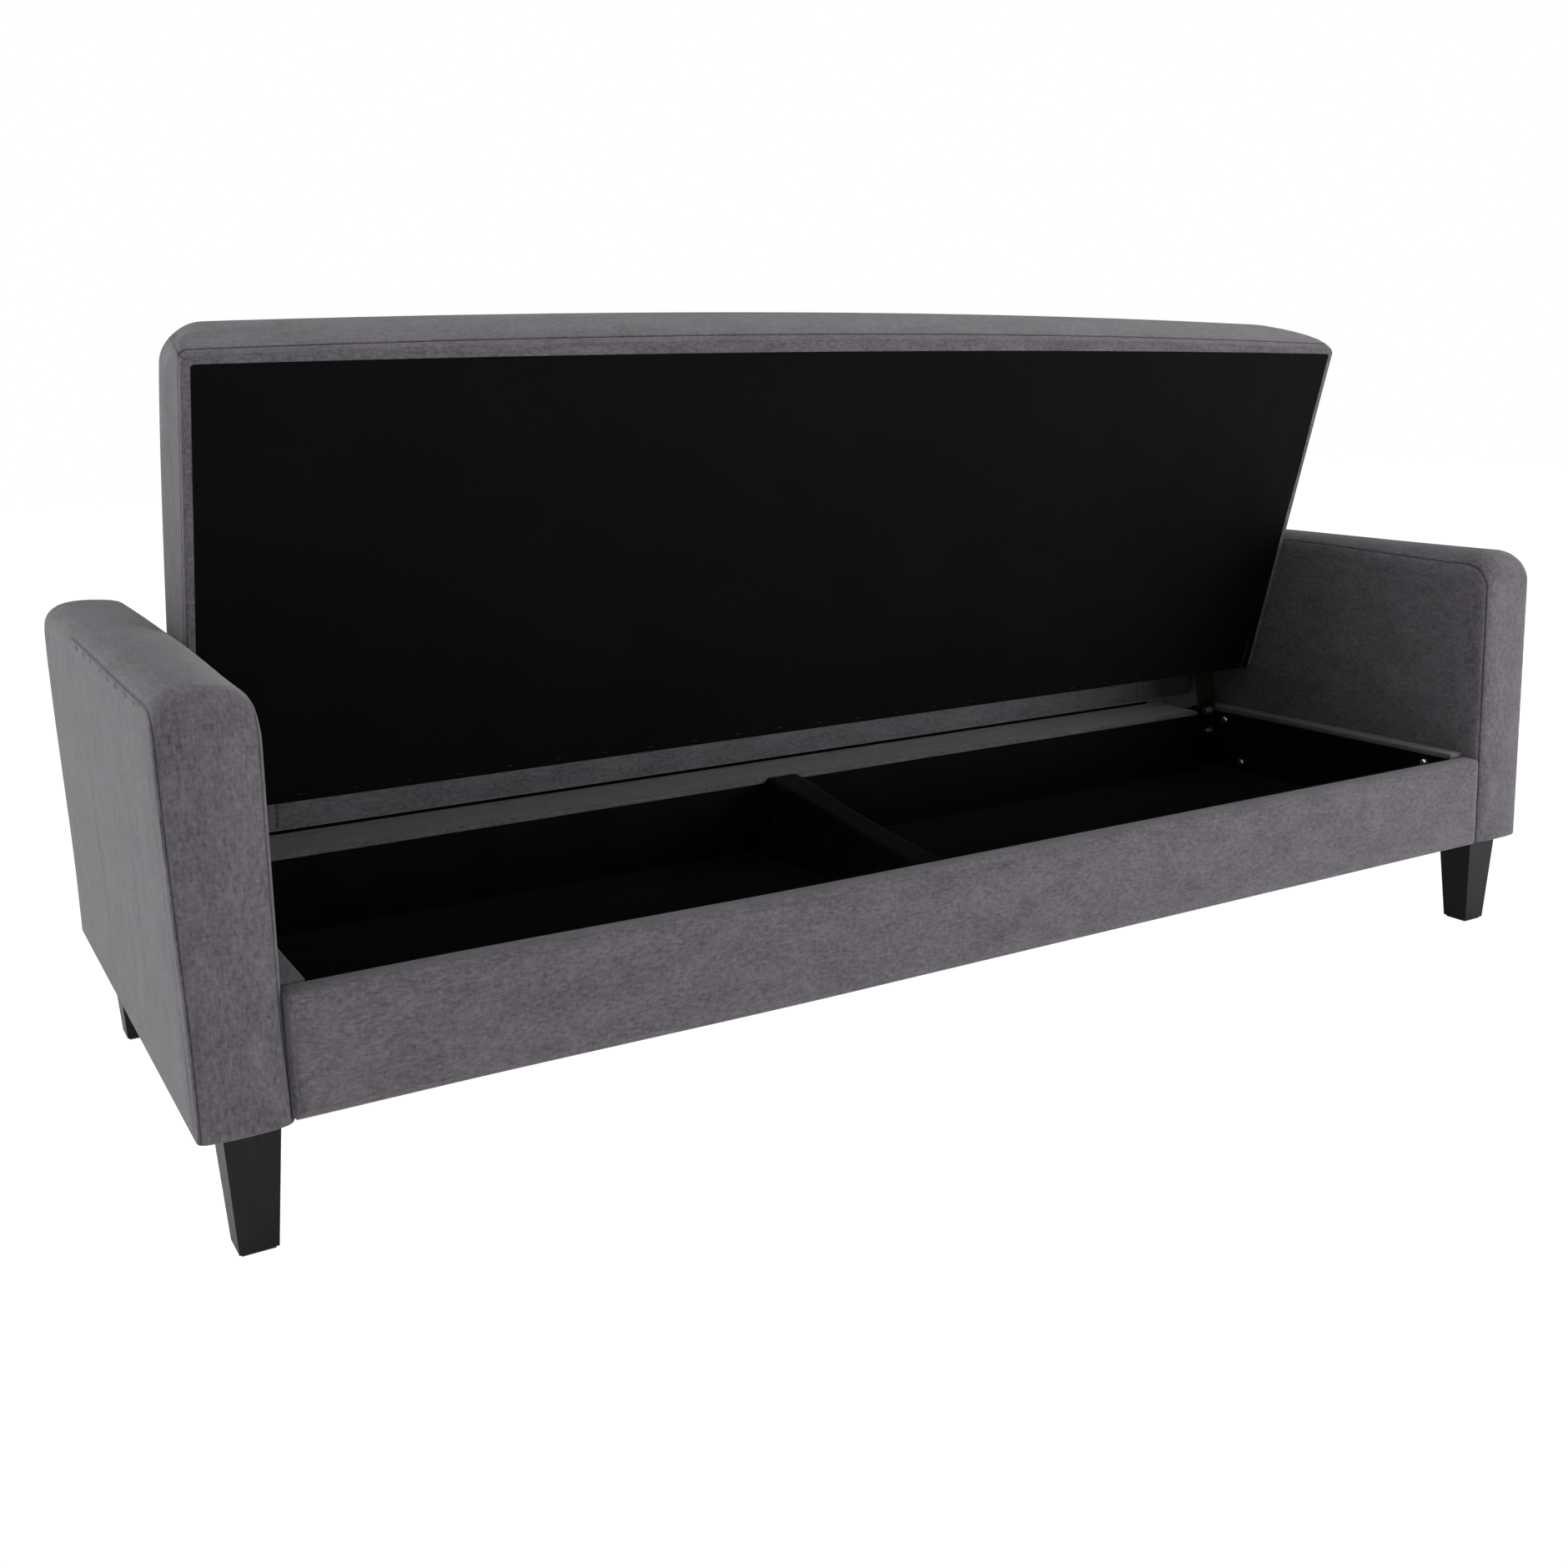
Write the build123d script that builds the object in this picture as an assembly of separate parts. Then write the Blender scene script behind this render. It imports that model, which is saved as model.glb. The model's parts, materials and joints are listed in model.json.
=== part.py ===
from build123d import *
import os
from math import cos, radians, sin, sqrt

# Sofa bed with a lift-up seat over a storage box and a back that reclines to a bed.
# X runs along the sofa, Y from front to rear, Z up from the floor.
# Pieces are drawn with Y counted from the front faces of the arms.
# Lengths are in millimetres and angles in degrees.

# Overall sizes
overall_width = 2112.0
leg_height = 144.0
cushion_top = 472.0
clearance = 0.3
thin_gap = 1.0

# Arms
arm_thickness = 106.0
arm_depth = 845.0
arm_top = 625.0
arm_crown = 24.0
arm_front_round = 45.0
arm_rear_round = 30.0
arm_edge_round = 8.0
arm_pad = 20.0
arm_top_pad = 29.0
arm_bar_height = 40.0
arm_post_width = 90.0
arm_rear_post_width = 50.0

# Legs and what holds them
leg_top_width = 60.0
leg_foot_width = 42.0
leg_inset = 64.0
front_leg_y = 49.0
rear_leg_from_arm_rear = 89.0
leg_plate_width = 66.0
leg_plate_thickness = 3.0
glide_width = 36.0
glide_thickness = 3.0
stud_radius = 4.0
stud_in_leg = 30.0
stud_in_arm = 28.0

# Storage box
rail_bottom = 154.0
rail_top = 291.0
rail_end_gap = 2.0
front_rail_bottom = 146.0
front_rail_top = 287.0
front_rail_depth = 37.0
front_rail_pad = 8.0
front_rail_round = 9.0
side_board_thickness = 25.0
side_cap_thickness = 2.0
box_inner_rear = 541.0
board_thickness = 18.0
rear_beam_depth = 77.0
hinge_pocket = 65.0
rear_pad = 7.0
rear_pad_overhang = 5.0
rear_pad_lip = 0.5
batten_width = 20.0
batten_height = 18.0
floor_thickness = 4.0
lining_thickness = 1.2
centre_beam_x = -40.0
centre_beam_width = 40.0
centre_beam_rear_top = 286.0
centre_beam_front_top = 232.0
beam_cloth_spread = 22.0

# Rear stretcher under the flat back
stretcher_from_arm_rear = 75.0
stretcher_thickness = 25.0

# Seat and back cushions
cushion_side_gap = 8.0
seat_front = -23.0
seat_past_pivot = 4.0
seat_bottom = 295.0
seat_back_gap = 40.0
back_length = 450.0
back_bottom = 296.0
cushion_crown = 8.0
end_crown_share = 0.2
free_bow = 18.0
free_bulge = 5.0
free_round = 22.0
hinge_round = 65.0
plan_corner = 40.0
corner_station_angles = (0, 30, 60, 90)
end_round = 14.0
cushion_wall = 32.0
hinge_wall = 30.0
cushion_top_wall = 30.0
sheet_thickness = 1.2
sheet_border = 10.0
sheet_free_border = 31.0
sheet_corner = 34.0
frame_bar = 25.0
frame_height = 43.0
cross_rail_width = 40.0
strap_width = 60.0
strap_thickness = 2.0
strap_count = 9

# Hinges
seat_pivot_y = 596.0
seat_pivot_z = 405.0
back_pivot_from_front = 15.0
back_pivot_z = 440.0
seat_lift_angle = 73.4
plate_thickness = 5.0
washer_room = 1.5
pin_radius = 6.0
pin_clearance = 0.05
pin_head_radius = 10.0
pin_head_thickness = 3.0
pin_nut_radius = 9.0
pin_nut_thickness = 5.0
washer_radius = 12.0
bracket_seat_end_radius = 22.0
bracket_back_end_radius = 18.0
bracket_foot_front = 557.0
bracket_foot_gap = 14.0
bracket_foot_bottom = 222.0
bracket_foot_top = 292.0
bracket_bolt_y = 572.0
bracket_bolt_heights = (240.0, 278.0)
seat_hub_radius = 25.0
back_hub_radius = 18.0
back_elbow_forward = 45.0
back_elbow_drop = 40.0
back_elbow_radius = 12.0
hinge_foot_length = 100.0
hinge_foot_height = 34.0
seat_foot_from_pivot = 216.0
back_foot_from_pivot = 195.0
seat_notch_depth = 58.0
back_notch_depth = 60.0
back_notch_drop = 45.0

# Ratchet catch on each hinge
ratchet_steps = 5
ratchet_angle = -30.0
ratchet_notch_width = 4.0
ratchet_notch_depth = 4.2
catch_pin_drop = 48.0
catch_pin_radius = 4.0
catch_boss_radius = 8.0
catch_tip_radius = 3.0
catch_tip_reach = 30.0
catch_nose_width = 2.2
catch_nose_inset = 3.2
catch_lift_angle = 6.0

# Fasteners
bolt_radius = 4.0
bolt_head_radius = 6.5
bolt_head_height = 8.0
bolt_head_round = 3.0
bolt_end_gap = 2.0
bolt_in_post = 20.0
bolt_hole_clearance = 0.2
arm_bolt_places = ((83.0, 194.0), (83.0, 268.0), (484.0, 194.0), (527.0, 268.0))
screw_radius = 2.5
screw_head_radius = 5.0
screw_head_height = 0.8
screw_length = 18.0
screw_edge = 15.0

# Places worked out from the sizes above
arm_inner = overall_width / 2 - arm_thickness
arm_middle = overall_width / 2 - arm_thickness / 2
arm_frame_inner = arm_inner + arm_pad
arm_frame_outer = overall_width / 2 - arm_pad
leg_x = overall_width / 2 - leg_inset
stretcher_y = arm_depth - stretcher_from_arm_rear
leg_places = {"front": front_leg_y, "rear": arm_depth - rear_leg_from_arm_rear}
side_inner = arm_inner - side_board_thickness
side_board_top = rail_top - side_cap_thickness - thin_gap
lining_inner = side_inner - lining_thickness
rear_beam_half = side_inner - hinge_pocket
box_rear = box_inner_rear + rear_beam_depth
rear_board_top = rail_top - rear_pad - board_thickness
bracket_foot_rear = box_rear - board_thickness - bracket_foot_gap
floor_bottom = rail_bottom + batten_height
floor_top = floor_bottom + floor_thickness
lining_floor_top = floor_top + lining_thickness
beam_left = centre_beam_x - centre_beam_width / 2
beam_right = centre_beam_x + centre_beam_width / 2
cushion_half = arm_inner - cushion_side_gap
seat_rear = seat_pivot_y + seat_past_pivot
back_front = seat_rear + seat_back_gap
back_rear = back_front + back_length
back_pivot_y = back_front + back_pivot_from_front
overall_depth = back_rear + free_bulge
bracket_outer = lining_inner - clearance
bracket_inner = bracket_outer - plate_thickness
hinge_arm_outer = bracket_inner - washer_room
hinge_arm_inner = hinge_arm_outer - plate_thickness
cavity_half = hinge_arm_outer + thin_gap
pin_head_outer = bracket_outer + pin_head_thickness
pin_nut_outer = hinge_arm_inner - clearance
pin_nut_inner = pin_nut_outer - pin_nut_thickness
notch_outer = pin_head_outer + thin_gap
notch_inner = pin_nut_inner - thin_gap
catch_pin_y = seat_pivot_y
catch_pin_z = seat_pivot_z - catch_pin_drop


# Drawing helpers
def block(x_low, x_high, y_low, y_high, z_low, z_high):
    centre = Pos((x_low + x_high) / 2, (y_low + y_high) / 2, (z_low + z_high) / 2)
    return centre * Box(x_high - x_low, y_high - y_low, z_high - z_low)


def rod_along_x(x_low, x_high, y, z, radius):
    return Pos((x_low + x_high) / 2, y, z) * Rot(0, 90, 0) * Cylinder(radius, x_high - x_low)


def rod_along_z(x, y, z_low, z_high, radius):
    return Pos(x, y, (z_low + z_high) / 2) * Cylinder(radius, z_high - z_low)


def side_plate(face, x_low, x_high):
    """Extrude a face drawn in Y and Z along X."""
    return extrude(Plane.YZ.offset(x_low) * face, x_high - x_low)


def disc(y, z, radius):
    return Pos(y, z) * Circle(radius)


def panel(y_low, y_high, z_low, z_high):
    return Pos((y_low + y_high) / 2, (z_low + z_high) / 2) * Rectangle(y_high - y_low, z_high - z_low)


def hull_of(first, second):
    return make_hull(first.edges() + second.edges())


def mirrored(shape):
    return mirror(shape, about=Plane.YZ)


def turned(shape, angle, y, z):
    """Turn a shape about the line along X through y and z."""
    return Pos(0, y, z) * Rot(angle, 0, 0) * Pos(0, -y, -z) * shape


def lifted(shape):
    return turned(shape, -seat_lift_angle, seat_pivot_y, seat_pivot_z)


def save(name, *shapes):
    """Write one node, with the origin moved to the middle of the footprint."""
    to_origin = Pos(0, -overall_depth / 2, 0)
    solids = [to_origin * solid for shape in shapes for solid in shape.solids()]
    export_step(solids[0] if len(solids) == 1 else Compound(solids), f"parts/{name}.step")


def save_pair(name, right_shape):
    save(f"right_{name}", right_shape)
    save(f"left_{name}", mirrored(right_shape))


# Arms
def arm_outer_form():
    outer = overall_width / 2
    high_z = arm_top - arm_crown
    outline = Polyline((arm_inner, high_z), (arm_inner, leg_height), (outer, leg_height), (outer, high_z))
    crown = ThreePointArc((outer, high_z), (arm_middle, arm_top), (arm_inner, high_z))
    section = make_face(Plane.XZ * (outline + crown))
    body = extrude(section, arm_depth, dir=(0, 1, 0))
    side = panel(0, arm_depth, leg_height, arm_top)
    top_corners = side.vertices().group_by(Axis.Y)[-1].sort_by(Axis.X)
    side = fillet(top_corners[0], arm_front_round)
    rear_corner = side.vertices().group_by(Axis.Y)[-1].sort_by(Axis.X)[-1]
    side = fillet(rear_corner, arm_rear_round)
    body = body & side_plate(side, arm_inner, overall_width / 2)
    front_edges = body.edges().filter_by(Axis.Z).group_by(Axis.Y)[0]
    return fillet(front_edges, arm_edge_round)


def arm_bars():
    inner, outer = arm_frame_inner, arm_frame_outer
    frame_rear = arm_depth - arm_pad
    post_low = leg_height + arm_bar_height
    post_high = arm_top - arm_top_pad - arm_bar_height
    mid_post_y = sum(place[0] for place in arm_bolt_places[2:]) / 2
    spans = {
        "front": (arm_pad, arm_pad + arm_post_width),
        "middle": (mid_post_y - arm_post_width / 2, mid_post_y + arm_post_width / 2),
        "rear": (frame_rear - arm_rear_post_width, frame_rear),
    }
    bars = [
        block(inner, outer, arm_pad, frame_rear, leg_height, post_low),
        block(inner, outer, arm_pad, frame_rear, post_high, post_high + arm_bar_height),
    ]
    for low, high in spans.values():
        bars.append(block(inner, outer, low, high, post_low, post_high))
    return bars


def arm_bolt_holes():
    reach = arm_frame_inner + bolt_in_post
    radius = bolt_radius + bolt_hole_clearance
    holes = Part()
    for y, z in arm_bolt_places:
        holes += rod_along_x(hinge_arm_inner, reach + thin_gap, y, z, radius)
    return holes


def make_arms():
    studs = Part()
    for y in leg_places.values():
        stud_top = leg_height + stud_in_arm + thin_gap
        studs += rod_along_z(leg_x, y, leg_height, stud_top, stud_radius + bolt_hole_clearance)
    holes = arm_bolt_holes()
    cavity = block(
        arm_frame_inner, arm_frame_outer, arm_pad, arm_depth - arm_pad, leg_height, arm_top - arm_top_pad
    )
    cover = arm_outer_form() - cavity - holes
    bars = [bar - holes - studs for bar in arm_bars()]
    save_pair("arm_cover", cover)
    save("right_arm_frame", *bars)
    save("left_arm_frame", *[mirrored(bar) for bar in bars])
    bolts = []
    for y, z in arm_bolt_places:
        head = rod_along_x(lining_inner - bolt_head_height, lining_inner, y, z, bolt_head_radius)
        shank = rod_along_x(lining_inner, arm_frame_inner + bolt_in_post, y, z, bolt_radius)
        head = fillet(head.edges().group_by(Axis.X)[0], bolt_head_round)
        bolts += [head + shank, mirrored(head + shank)]
    save("arm_bolts", *bolts)


# Legs
def square_plate(y, width, z_low, z_high):
    half = width / 2
    return block(leg_x - half, leg_x + half, y - half, y + half, z_low, z_high)


def make_legs():
    body_low = glide_thickness
    body_high = leg_height - leg_plate_thickness
    plates, studs, glides = [], [], []
    for row, y in leg_places.items():
        foot = Pos(leg_x, y, body_low) * Rectangle(leg_foot_width, leg_foot_width)
        top = Pos(leg_x, y, body_high) * Rectangle(leg_top_width, leg_top_width)
        hole = rod_along_z(
            leg_x, y, body_high - stud_in_leg - thin_gap, leg_height, stud_radius + bolt_hole_clearance
        )
        leg = loft([foot, top], ruled=True) - hole
        save(f"{row}_right_leg", leg)
        save(f"{row}_left_leg", mirrored(leg))
        plate = square_plate(y, leg_plate_width, body_high, leg_height) - hole
        stud = rod_along_z(leg_x, y, body_high - stud_in_leg, leg_height + stud_in_arm, stud_radius)
        glide = square_plate(y, glide_width, 0, body_low)
        plates += [plate, mirrored(plate)]
        studs += [stud, mirrored(stud)]
        glides += [glide, mirrored(glide)]
    save("leg_plates", *plates)
    save("leg_studs", *studs)
    save("leg_glides", *glides)


# Storage box
def make_front_rail():
    half = arm_inner - rail_end_gap
    pad = front_rail_pad
    cover = block(-half, half, 0, front_rail_depth, front_rail_bottom, front_rail_top)
    cover = fillet(cover.edges().filter_by(Axis.X), front_rail_round)
    board_high = front_rail_top - pad
    cavity = block(-half, half, pad, front_rail_depth - pad, front_rail_bottom, board_high)
    save("front_rail_cover", cover - cavity)
    board_low = front_rail_bottom + thin_gap
    save("front_rail_board", block(-half, half, pad, front_rail_depth - pad, board_low, board_high))


def bracket_bolt_holes():
    radius = bolt_radius + bolt_hole_clearance
    holes = Part()
    for z in bracket_bolt_heights:
        holes += rod_along_x(hinge_arm_inner, arm_inner - thin_gap, bracket_bolt_y, z, radius)
    return holes


def make_side_boards():
    holes = arm_bolt_holes() + bracket_bolt_holes()
    board = block(side_inner, arm_inner, front_rail_depth, box_rear, rail_bottom, side_board_top)
    save_pair("side_board", board - holes)
    cap_top = side_board_top + side_cap_thickness
    cap = block(lining_inner, arm_inner, front_rail_depth, box_rear, side_board_top, cap_top)
    save_pair("side_cap", cap)


def make_rear_beam():
    low = rail_bottom
    front_high = box_inner_rear + board_thickness
    half = rear_beam_half
    save("rear_beam_front", block(-half, half, box_inner_rear, front_high, low, rear_board_top))
    back_low = box_rear - board_thickness
    save("rear_beam_back", block(-side_inner, side_inner, back_low, box_rear, low, rear_board_top))
    top_high = rear_board_top + board_thickness
    save("rear_beam_top", block(-half, half, box_inner_rear, box_rear, rear_board_top, top_high))
    pad_front = box_inner_rear - rear_pad_overhang
    pad_rear = box_rear + rear_pad_overhang
    cover = block(-half, half, pad_front, pad_rear, top_high - rear_pad_lip, rail_top)
    cover = fillet(cover.edges().filter_by(Axis.X).group_by(Axis.Z)[-1], rear_pad_overhang)
    inside = block(-half, half, box_inner_rear, box_rear, low, top_high)
    save("rear_beam_cover", cover - inside)


def centre_beam_face(lift, rear_y, front_y):
    slope = (centre_beam_rear_top - centre_beam_front_top) / (box_inner_rear - front_rail_depth)
    rear_z = centre_beam_rear_top + lift - slope * (box_inner_rear - rear_y)
    front_z = centre_beam_front_top + lift + slope * (front_y - front_rail_depth)
    return front_z, rear_z


def beam_cloth_form(grow, floor_z):
    """Tent over the centre beam: a loft between its front and rear outlines."""
    front_y = front_rail_depth + lining_thickness
    rear_y = box_inner_rear - lining_thickness
    front_z, rear_z = centre_beam_face(grow, rear_y, front_y)
    half_top = centre_beam_width / 2 + grow
    half_foot = half_top + beam_cloth_spread
    ends = []
    for y, top_z in ((front_y, front_z), (rear_y, rear_z)):
        corners = [(-half_foot, floor_z), (half_foot, floor_z), (half_top, top_z), (-half_top, top_z)]
        points = [(centre_beam_x + x, y, z) for x, z in corners]
        ends.append(Wire.make_polygon(points, close=True))
    return Solid.make_loft(ends, ruled=True)


def make_centre_beam():
    face = Polygon(
        (front_rail_depth, rail_bottom),
        (box_inner_rear, rail_bottom),
        (box_inner_rear, centre_beam_rear_top),
        (front_rail_depth, centre_beam_front_top),
        align=None,
    )
    pad_front = box_inner_rear - rear_pad_overhang
    pad_low = rail_top - rear_pad - rear_pad_lip
    pad_room = block(
        -rear_beam_half, rear_beam_half, pad_front - clearance, box_rear, pad_low - clearance, rail_top
    )
    beam = side_plate(face, beam_left, beam_right) - pad_room
    save("centre_beam", beam)
    cloth = beam_cloth_form(lining_thickness, floor_top) - beam_cloth_form(0, floor_top - thin_gap)
    save("beam_cloth", cloth - pad_room - beam)


def make_floor_and_linings():
    rear_batten = box_inner_rear - batten_width
    front_batten = front_rail_depth + batten_width
    side_batten = side_inner - batten_width
    battens = []
    for low, high in ((-side_inner, beam_left), (beam_right, side_inner)):
        battens.append(block(low, high, front_rail_depth, front_batten, rail_bottom, floor_bottom))
        battens.append(block(low, high, rear_batten, box_inner_rear, rail_bottom, floor_bottom))
    right_batten = block(side_batten, side_inner, front_batten, rear_batten, rail_bottom, floor_bottom)
    save("floor_battens", *battens, right_batten, mirrored(right_batten))
    cloth_foot = centre_beam_width / 2 + lining_thickness + beam_cloth_spread
    spans = {
        "left": (-side_inner, beam_left, -side_inner, centre_beam_x - cloth_foot),
        "right": (beam_right, side_inner, centre_beam_x + cloth_foot, side_inner),
    }
    holes = arm_bolt_holes() + bracket_bolt_holes()
    holes += mirrored(holes)
    wall_top = rail_top - rear_pad - rear_pad_lip - clearance
    front_y = front_rail_depth
    rear_y = box_inner_rear
    side_rear = box_rear - board_thickness
    for side, (panel_low, panel_high, low, high) in spans.items():
        save(f"{side}_floor_panel", block(panel_low, panel_high, front_y, rear_y, floor_bottom, floor_top))
        floor = block(low, high, front_y, rear_y, floor_top, lining_floor_top)
        rear_low = max(low, -rear_beam_half)
        rear_high = min(high, rear_beam_half)
        front_wall = block(low, high, front_y, front_y + lining_thickness, floor_top, wall_top)
        rear_wall = block(rear_low, rear_high, rear_y - lining_thickness, rear_y, floor_top, wall_top)
        side_low = -side_inner if side == "left" else lining_inner
        side_high = side_low + lining_thickness
        side_wall = block(side_low, side_high, front_y, side_rear, floor_top, side_board_top)
        save(f"{side}_lining", floor + front_wall + rear_wall + side_wall - holes)


def make_stretcher():
    top = back_bottom - clearance
    rear = stretcher_y + stretcher_thickness
    save("rear_stretcher", block(-arm_inner, arm_inner, stretcher_y, rear, rail_bottom, top))


# Cushions: the hinge end is beside the pivots and the free end is away from them
def cushion_section(x, hinge_y, free_y, bottom):
    reach = abs(x) / cushion_half
    into_corner = max(0.0, abs(x) - (cushion_half - plan_corner))
    into_edge = max(0.0, abs(x) - (cushion_half - end_round))
    corner_inset = plan_corner - sqrt(plan_corner**2 - into_corner**2)
    edge_inset = end_round - sqrt(end_round**2 - into_edge**2)
    away = 1 if free_y > hinge_y else -1
    free = free_y - away * (corner_inset + free_bow * reach**2)
    edge_z = cushion_top - cushion_crown - edge_inset
    crown_z = edge_z + cushion_crown * (1 - (1 - end_crown_share) * reach**2)
    diagonal = 1 - cos(radians(45))

    def at(y, z):
        return (x, y, z)

    free_low = at(free, bottom)
    free_high = at(free, edge_z - free_round)
    free_side = at(free + away * free_bulge, (bottom + edge_z - free_round) / 2)
    free_top = at(free - away * free_round, edge_z)
    free_bend = at(free - away * free_round * diagonal, edge_z - free_round * diagonal)
    hinge_top = at(hinge_y + away * hinge_round, edge_z)
    crown = at((free_top[1] + hinge_top[1]) / 2, crown_z)
    hinge_bend = at(hinge_y + away * hinge_round * diagonal, edge_z - hinge_round * diagonal)
    hinge_high = at(hinge_y, edge_z - hinge_round)
    hinge_low = at(hinge_y, bottom)
    return Wire([
        ThreePointArc(free_low, free_side, free_high),
        ThreePointArc(free_high, free_bend, free_top),
        ThreePointArc(free_top, crown, hinge_top),
        ThreePointArc(hinge_top, hinge_bend, hinge_high),
        Line(hinge_high, hinge_low),
        Line(hinge_low, free_low),
    ])


def cushion_form(hinge_y, free_y, bottom):
    """Crowned block: a loft along X through sections that draw in towards both ends."""
    corner_start = cushion_half - plan_corner
    stations = [0.0, cushion_half / 2]
    for angle in corner_station_angles:
        stations.append(corner_start + plan_corner * sin(radians(angle)))
    places = [-x for x in reversed(stations[1:])] + stations
    return Solid.make_loft([cushion_section(x, hinge_y, free_y, bottom) for x in places], ruled=True)


def underside_sheet(hinge_y, free_y, bottom):
    """Thin cloth over the open underside, with rounded corners at the free end."""
    away = 1 if free_y > hinge_y else -1
    edge_free = free_y - away * sheet_free_border
    edge_hinge = hinge_y + away * sheet_border
    half = cushion_half - sheet_border
    middle_y = (edge_free + edge_hinge) / 2
    face = Pos(0, middle_y) * Rectangle(2 * half, abs(edge_free - edge_hinge))
    corners = face.vertices().group_by(Axis.Y)[-1 if away > 0 else 0]
    face = fillet(corners, sheet_corner)
    return extrude(Pos(0, 0, bottom) * face, sheet_thickness)


def hinge_notch(y_low, y_high, z_low):
    right = block(notch_inner, notch_outer, y_low, y_high, z_low, cushion_top + cushion_crown)
    return right + mirrored(right)


def cushion_cavity(hinge_y, free_y):
    away = 1 if free_y > hinge_y else -1
    ends = sorted((hinge_y + away * hinge_wall, free_y - away * (cushion_wall + free_bow)))
    ceiling = cushion_top - cushion_top_wall
    return ends[0], ends[1], ceiling


def save_cushion(name, sheet_name, hinge_y, free_y, bottom, notch, place):
    """Write the cover, foam, frame, webbing and underside sheet of one cushion."""
    low_y, high_y, ceiling = cushion_cavity(hinge_y, free_y)
    sheet = underside_sheet(hinge_y, free_y, bottom) - notch
    cavity = block(-cavity_half, cavity_half, low_y, high_y, bottom, ceiling)
    cover = cushion_form(hinge_y, free_y, bottom) - cavity - notch - sheet
    save(f"{name}_cover", place(cover))
    save(sheet_name, place(sheet))
    frame_low = bottom + sheet_thickness
    frame_high = frame_low + frame_height
    rail_half = hinge_arm_inner
    near_rail = block(-rail_half, rail_half, low_y, low_y + frame_bar, frame_low, frame_high)
    far_rail = block(-rail_half, rail_half, high_y - frame_bar, high_y, frame_low, frame_high)
    save(f"{name}_long_rails", place(near_rail - notch), place(far_rail - notch))
    inner_low = low_y + frame_bar
    inner_high = high_y - frame_bar
    end_rail = block(rail_half - frame_bar, rail_half, inner_low, inner_high, frame_low, frame_high)
    end_rail = end_rail - hinge_screw_holes(name) - notch
    rails = [end_rail, mirrored(end_rail)]
    for x in (-rail_half / 2, 0, rail_half / 2):
        half = cross_rail_width / 2
        rails.append(block(x - half, x + half, inner_low, inner_high, frame_low, frame_high))
    save(f"{name}_cross_rails", *[place(rail) for rail in rails])
    strap_pitch = 2 * rail_half / (strap_count + 1)
    strap_high = frame_high + strap_thickness
    straps = []
    for index in range(strap_count):
        x = -rail_half + strap_pitch * (index + 1)
        half = strap_width / 2
        straps.append(place(block(x - half, x + half, low_y, high_y, frame_high, strap_high)))
    save(f"{name}_webbing", *straps)
    foam_half = notch_inner - thin_gap
    foam = block(-foam_half, foam_half, low_y, high_y, strap_high, ceiling)
    save(f"{name}_foam", place(foam))


# Hinges
def hinge_foot(name):
    """Lowest and highest Y, then Z, of the part of a hinge arm that is screwed to its frame."""
    low_z = (seat_bottom if name == "seat" else back_bottom) + sheet_thickness + thin_gap
    if name == "seat":
        low_y = seat_pivot_y - seat_foot_from_pivot - hinge_foot_length / 2
    else:
        low_y = back_pivot_y + back_foot_from_pivot - hinge_foot_length / 2
    return low_y, low_y + hinge_foot_length, low_z, low_z + hinge_foot_height


def hinge_screw_places(name):
    low_y, high_y, low_z, high_z = hinge_foot(name)
    middle_z = (low_z + high_z) / 2
    places = (low_y + screw_edge, (low_y + high_y) / 2, high_y - screw_edge)
    return [(y, middle_z) for y in places]


def hinge_screw_holes(name):
    holes = Part()
    inner = hinge_arm_outer - screw_length - thin_gap
    for y, z in hinge_screw_places(name):
        holes += rod_along_x(inner, hinge_arm_outer + thin_gap, y, z, screw_radius + bolt_hole_clearance)
    return holes


def pivot_hole(y, z):
    return rod_along_x(pin_nut_inner, pin_head_outer, y, z, pin_radius + pin_clearance)


def ratchet_notches():
    """Notches round the seat arm's hub, one catch step apart, in the closed seat's place."""
    step = seat_lift_angle / ratchet_steps
    notches = Part()
    for index in range(ratchet_steps + 1):
        angle = ratchet_angle + index * step
        low = seat_hub_radius - ratchet_notch_depth
        high = seat_hub_radius + thin_gap
        tooth = panel(low, high, -ratchet_notch_width / 2, ratchet_notch_width / 2)
        tooth = Pos(seat_pivot_y, seat_pivot_z) * Rot(0, 0, angle) * tooth
        notches += side_plate(tooth, hinge_arm_inner - thin_gap, hinge_arm_outer + thin_gap)
    return notches


def seat_hinge_arm():
    foot = panel(*hinge_foot("seat"))
    face = hull_of(disc(seat_pivot_y, seat_pivot_z, seat_hub_radius), foot)
    arm = side_plate(face, hinge_arm_inner, hinge_arm_outer)
    arm = arm - pivot_hole(seat_pivot_y, seat_pivot_z) - hinge_screw_holes("seat")
    return arm - ratchet_notches()


def back_hinge_arm():
    foot = panel(*hinge_foot("back"))
    elbow = disc(back_pivot_y + back_elbow_forward, back_pivot_z - back_elbow_drop, back_elbow_radius)
    hub = disc(back_pivot_y, back_pivot_z, back_hub_radius)
    face = hull_of(hub, elbow) + hull_of(elbow, foot)
    arm = side_plate(face, hinge_arm_inner, hinge_arm_outer)
    return arm - pivot_hole(back_pivot_y, back_pivot_z) - hinge_screw_holes("back")


def hinge_screws(name, place):
    screws = []
    for y, z in hinge_screw_places(name):
        head_outer = hinge_arm_outer + screw_head_height
        head = rod_along_x(hinge_arm_outer, head_outer, y, z, screw_head_radius)
        shank = rod_along_x(hinge_arm_outer - screw_length, hinge_arm_outer, y, z, screw_radius)
        screws += [place(head + shank), place(mirrored(head + shank))]
    return screws


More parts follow.
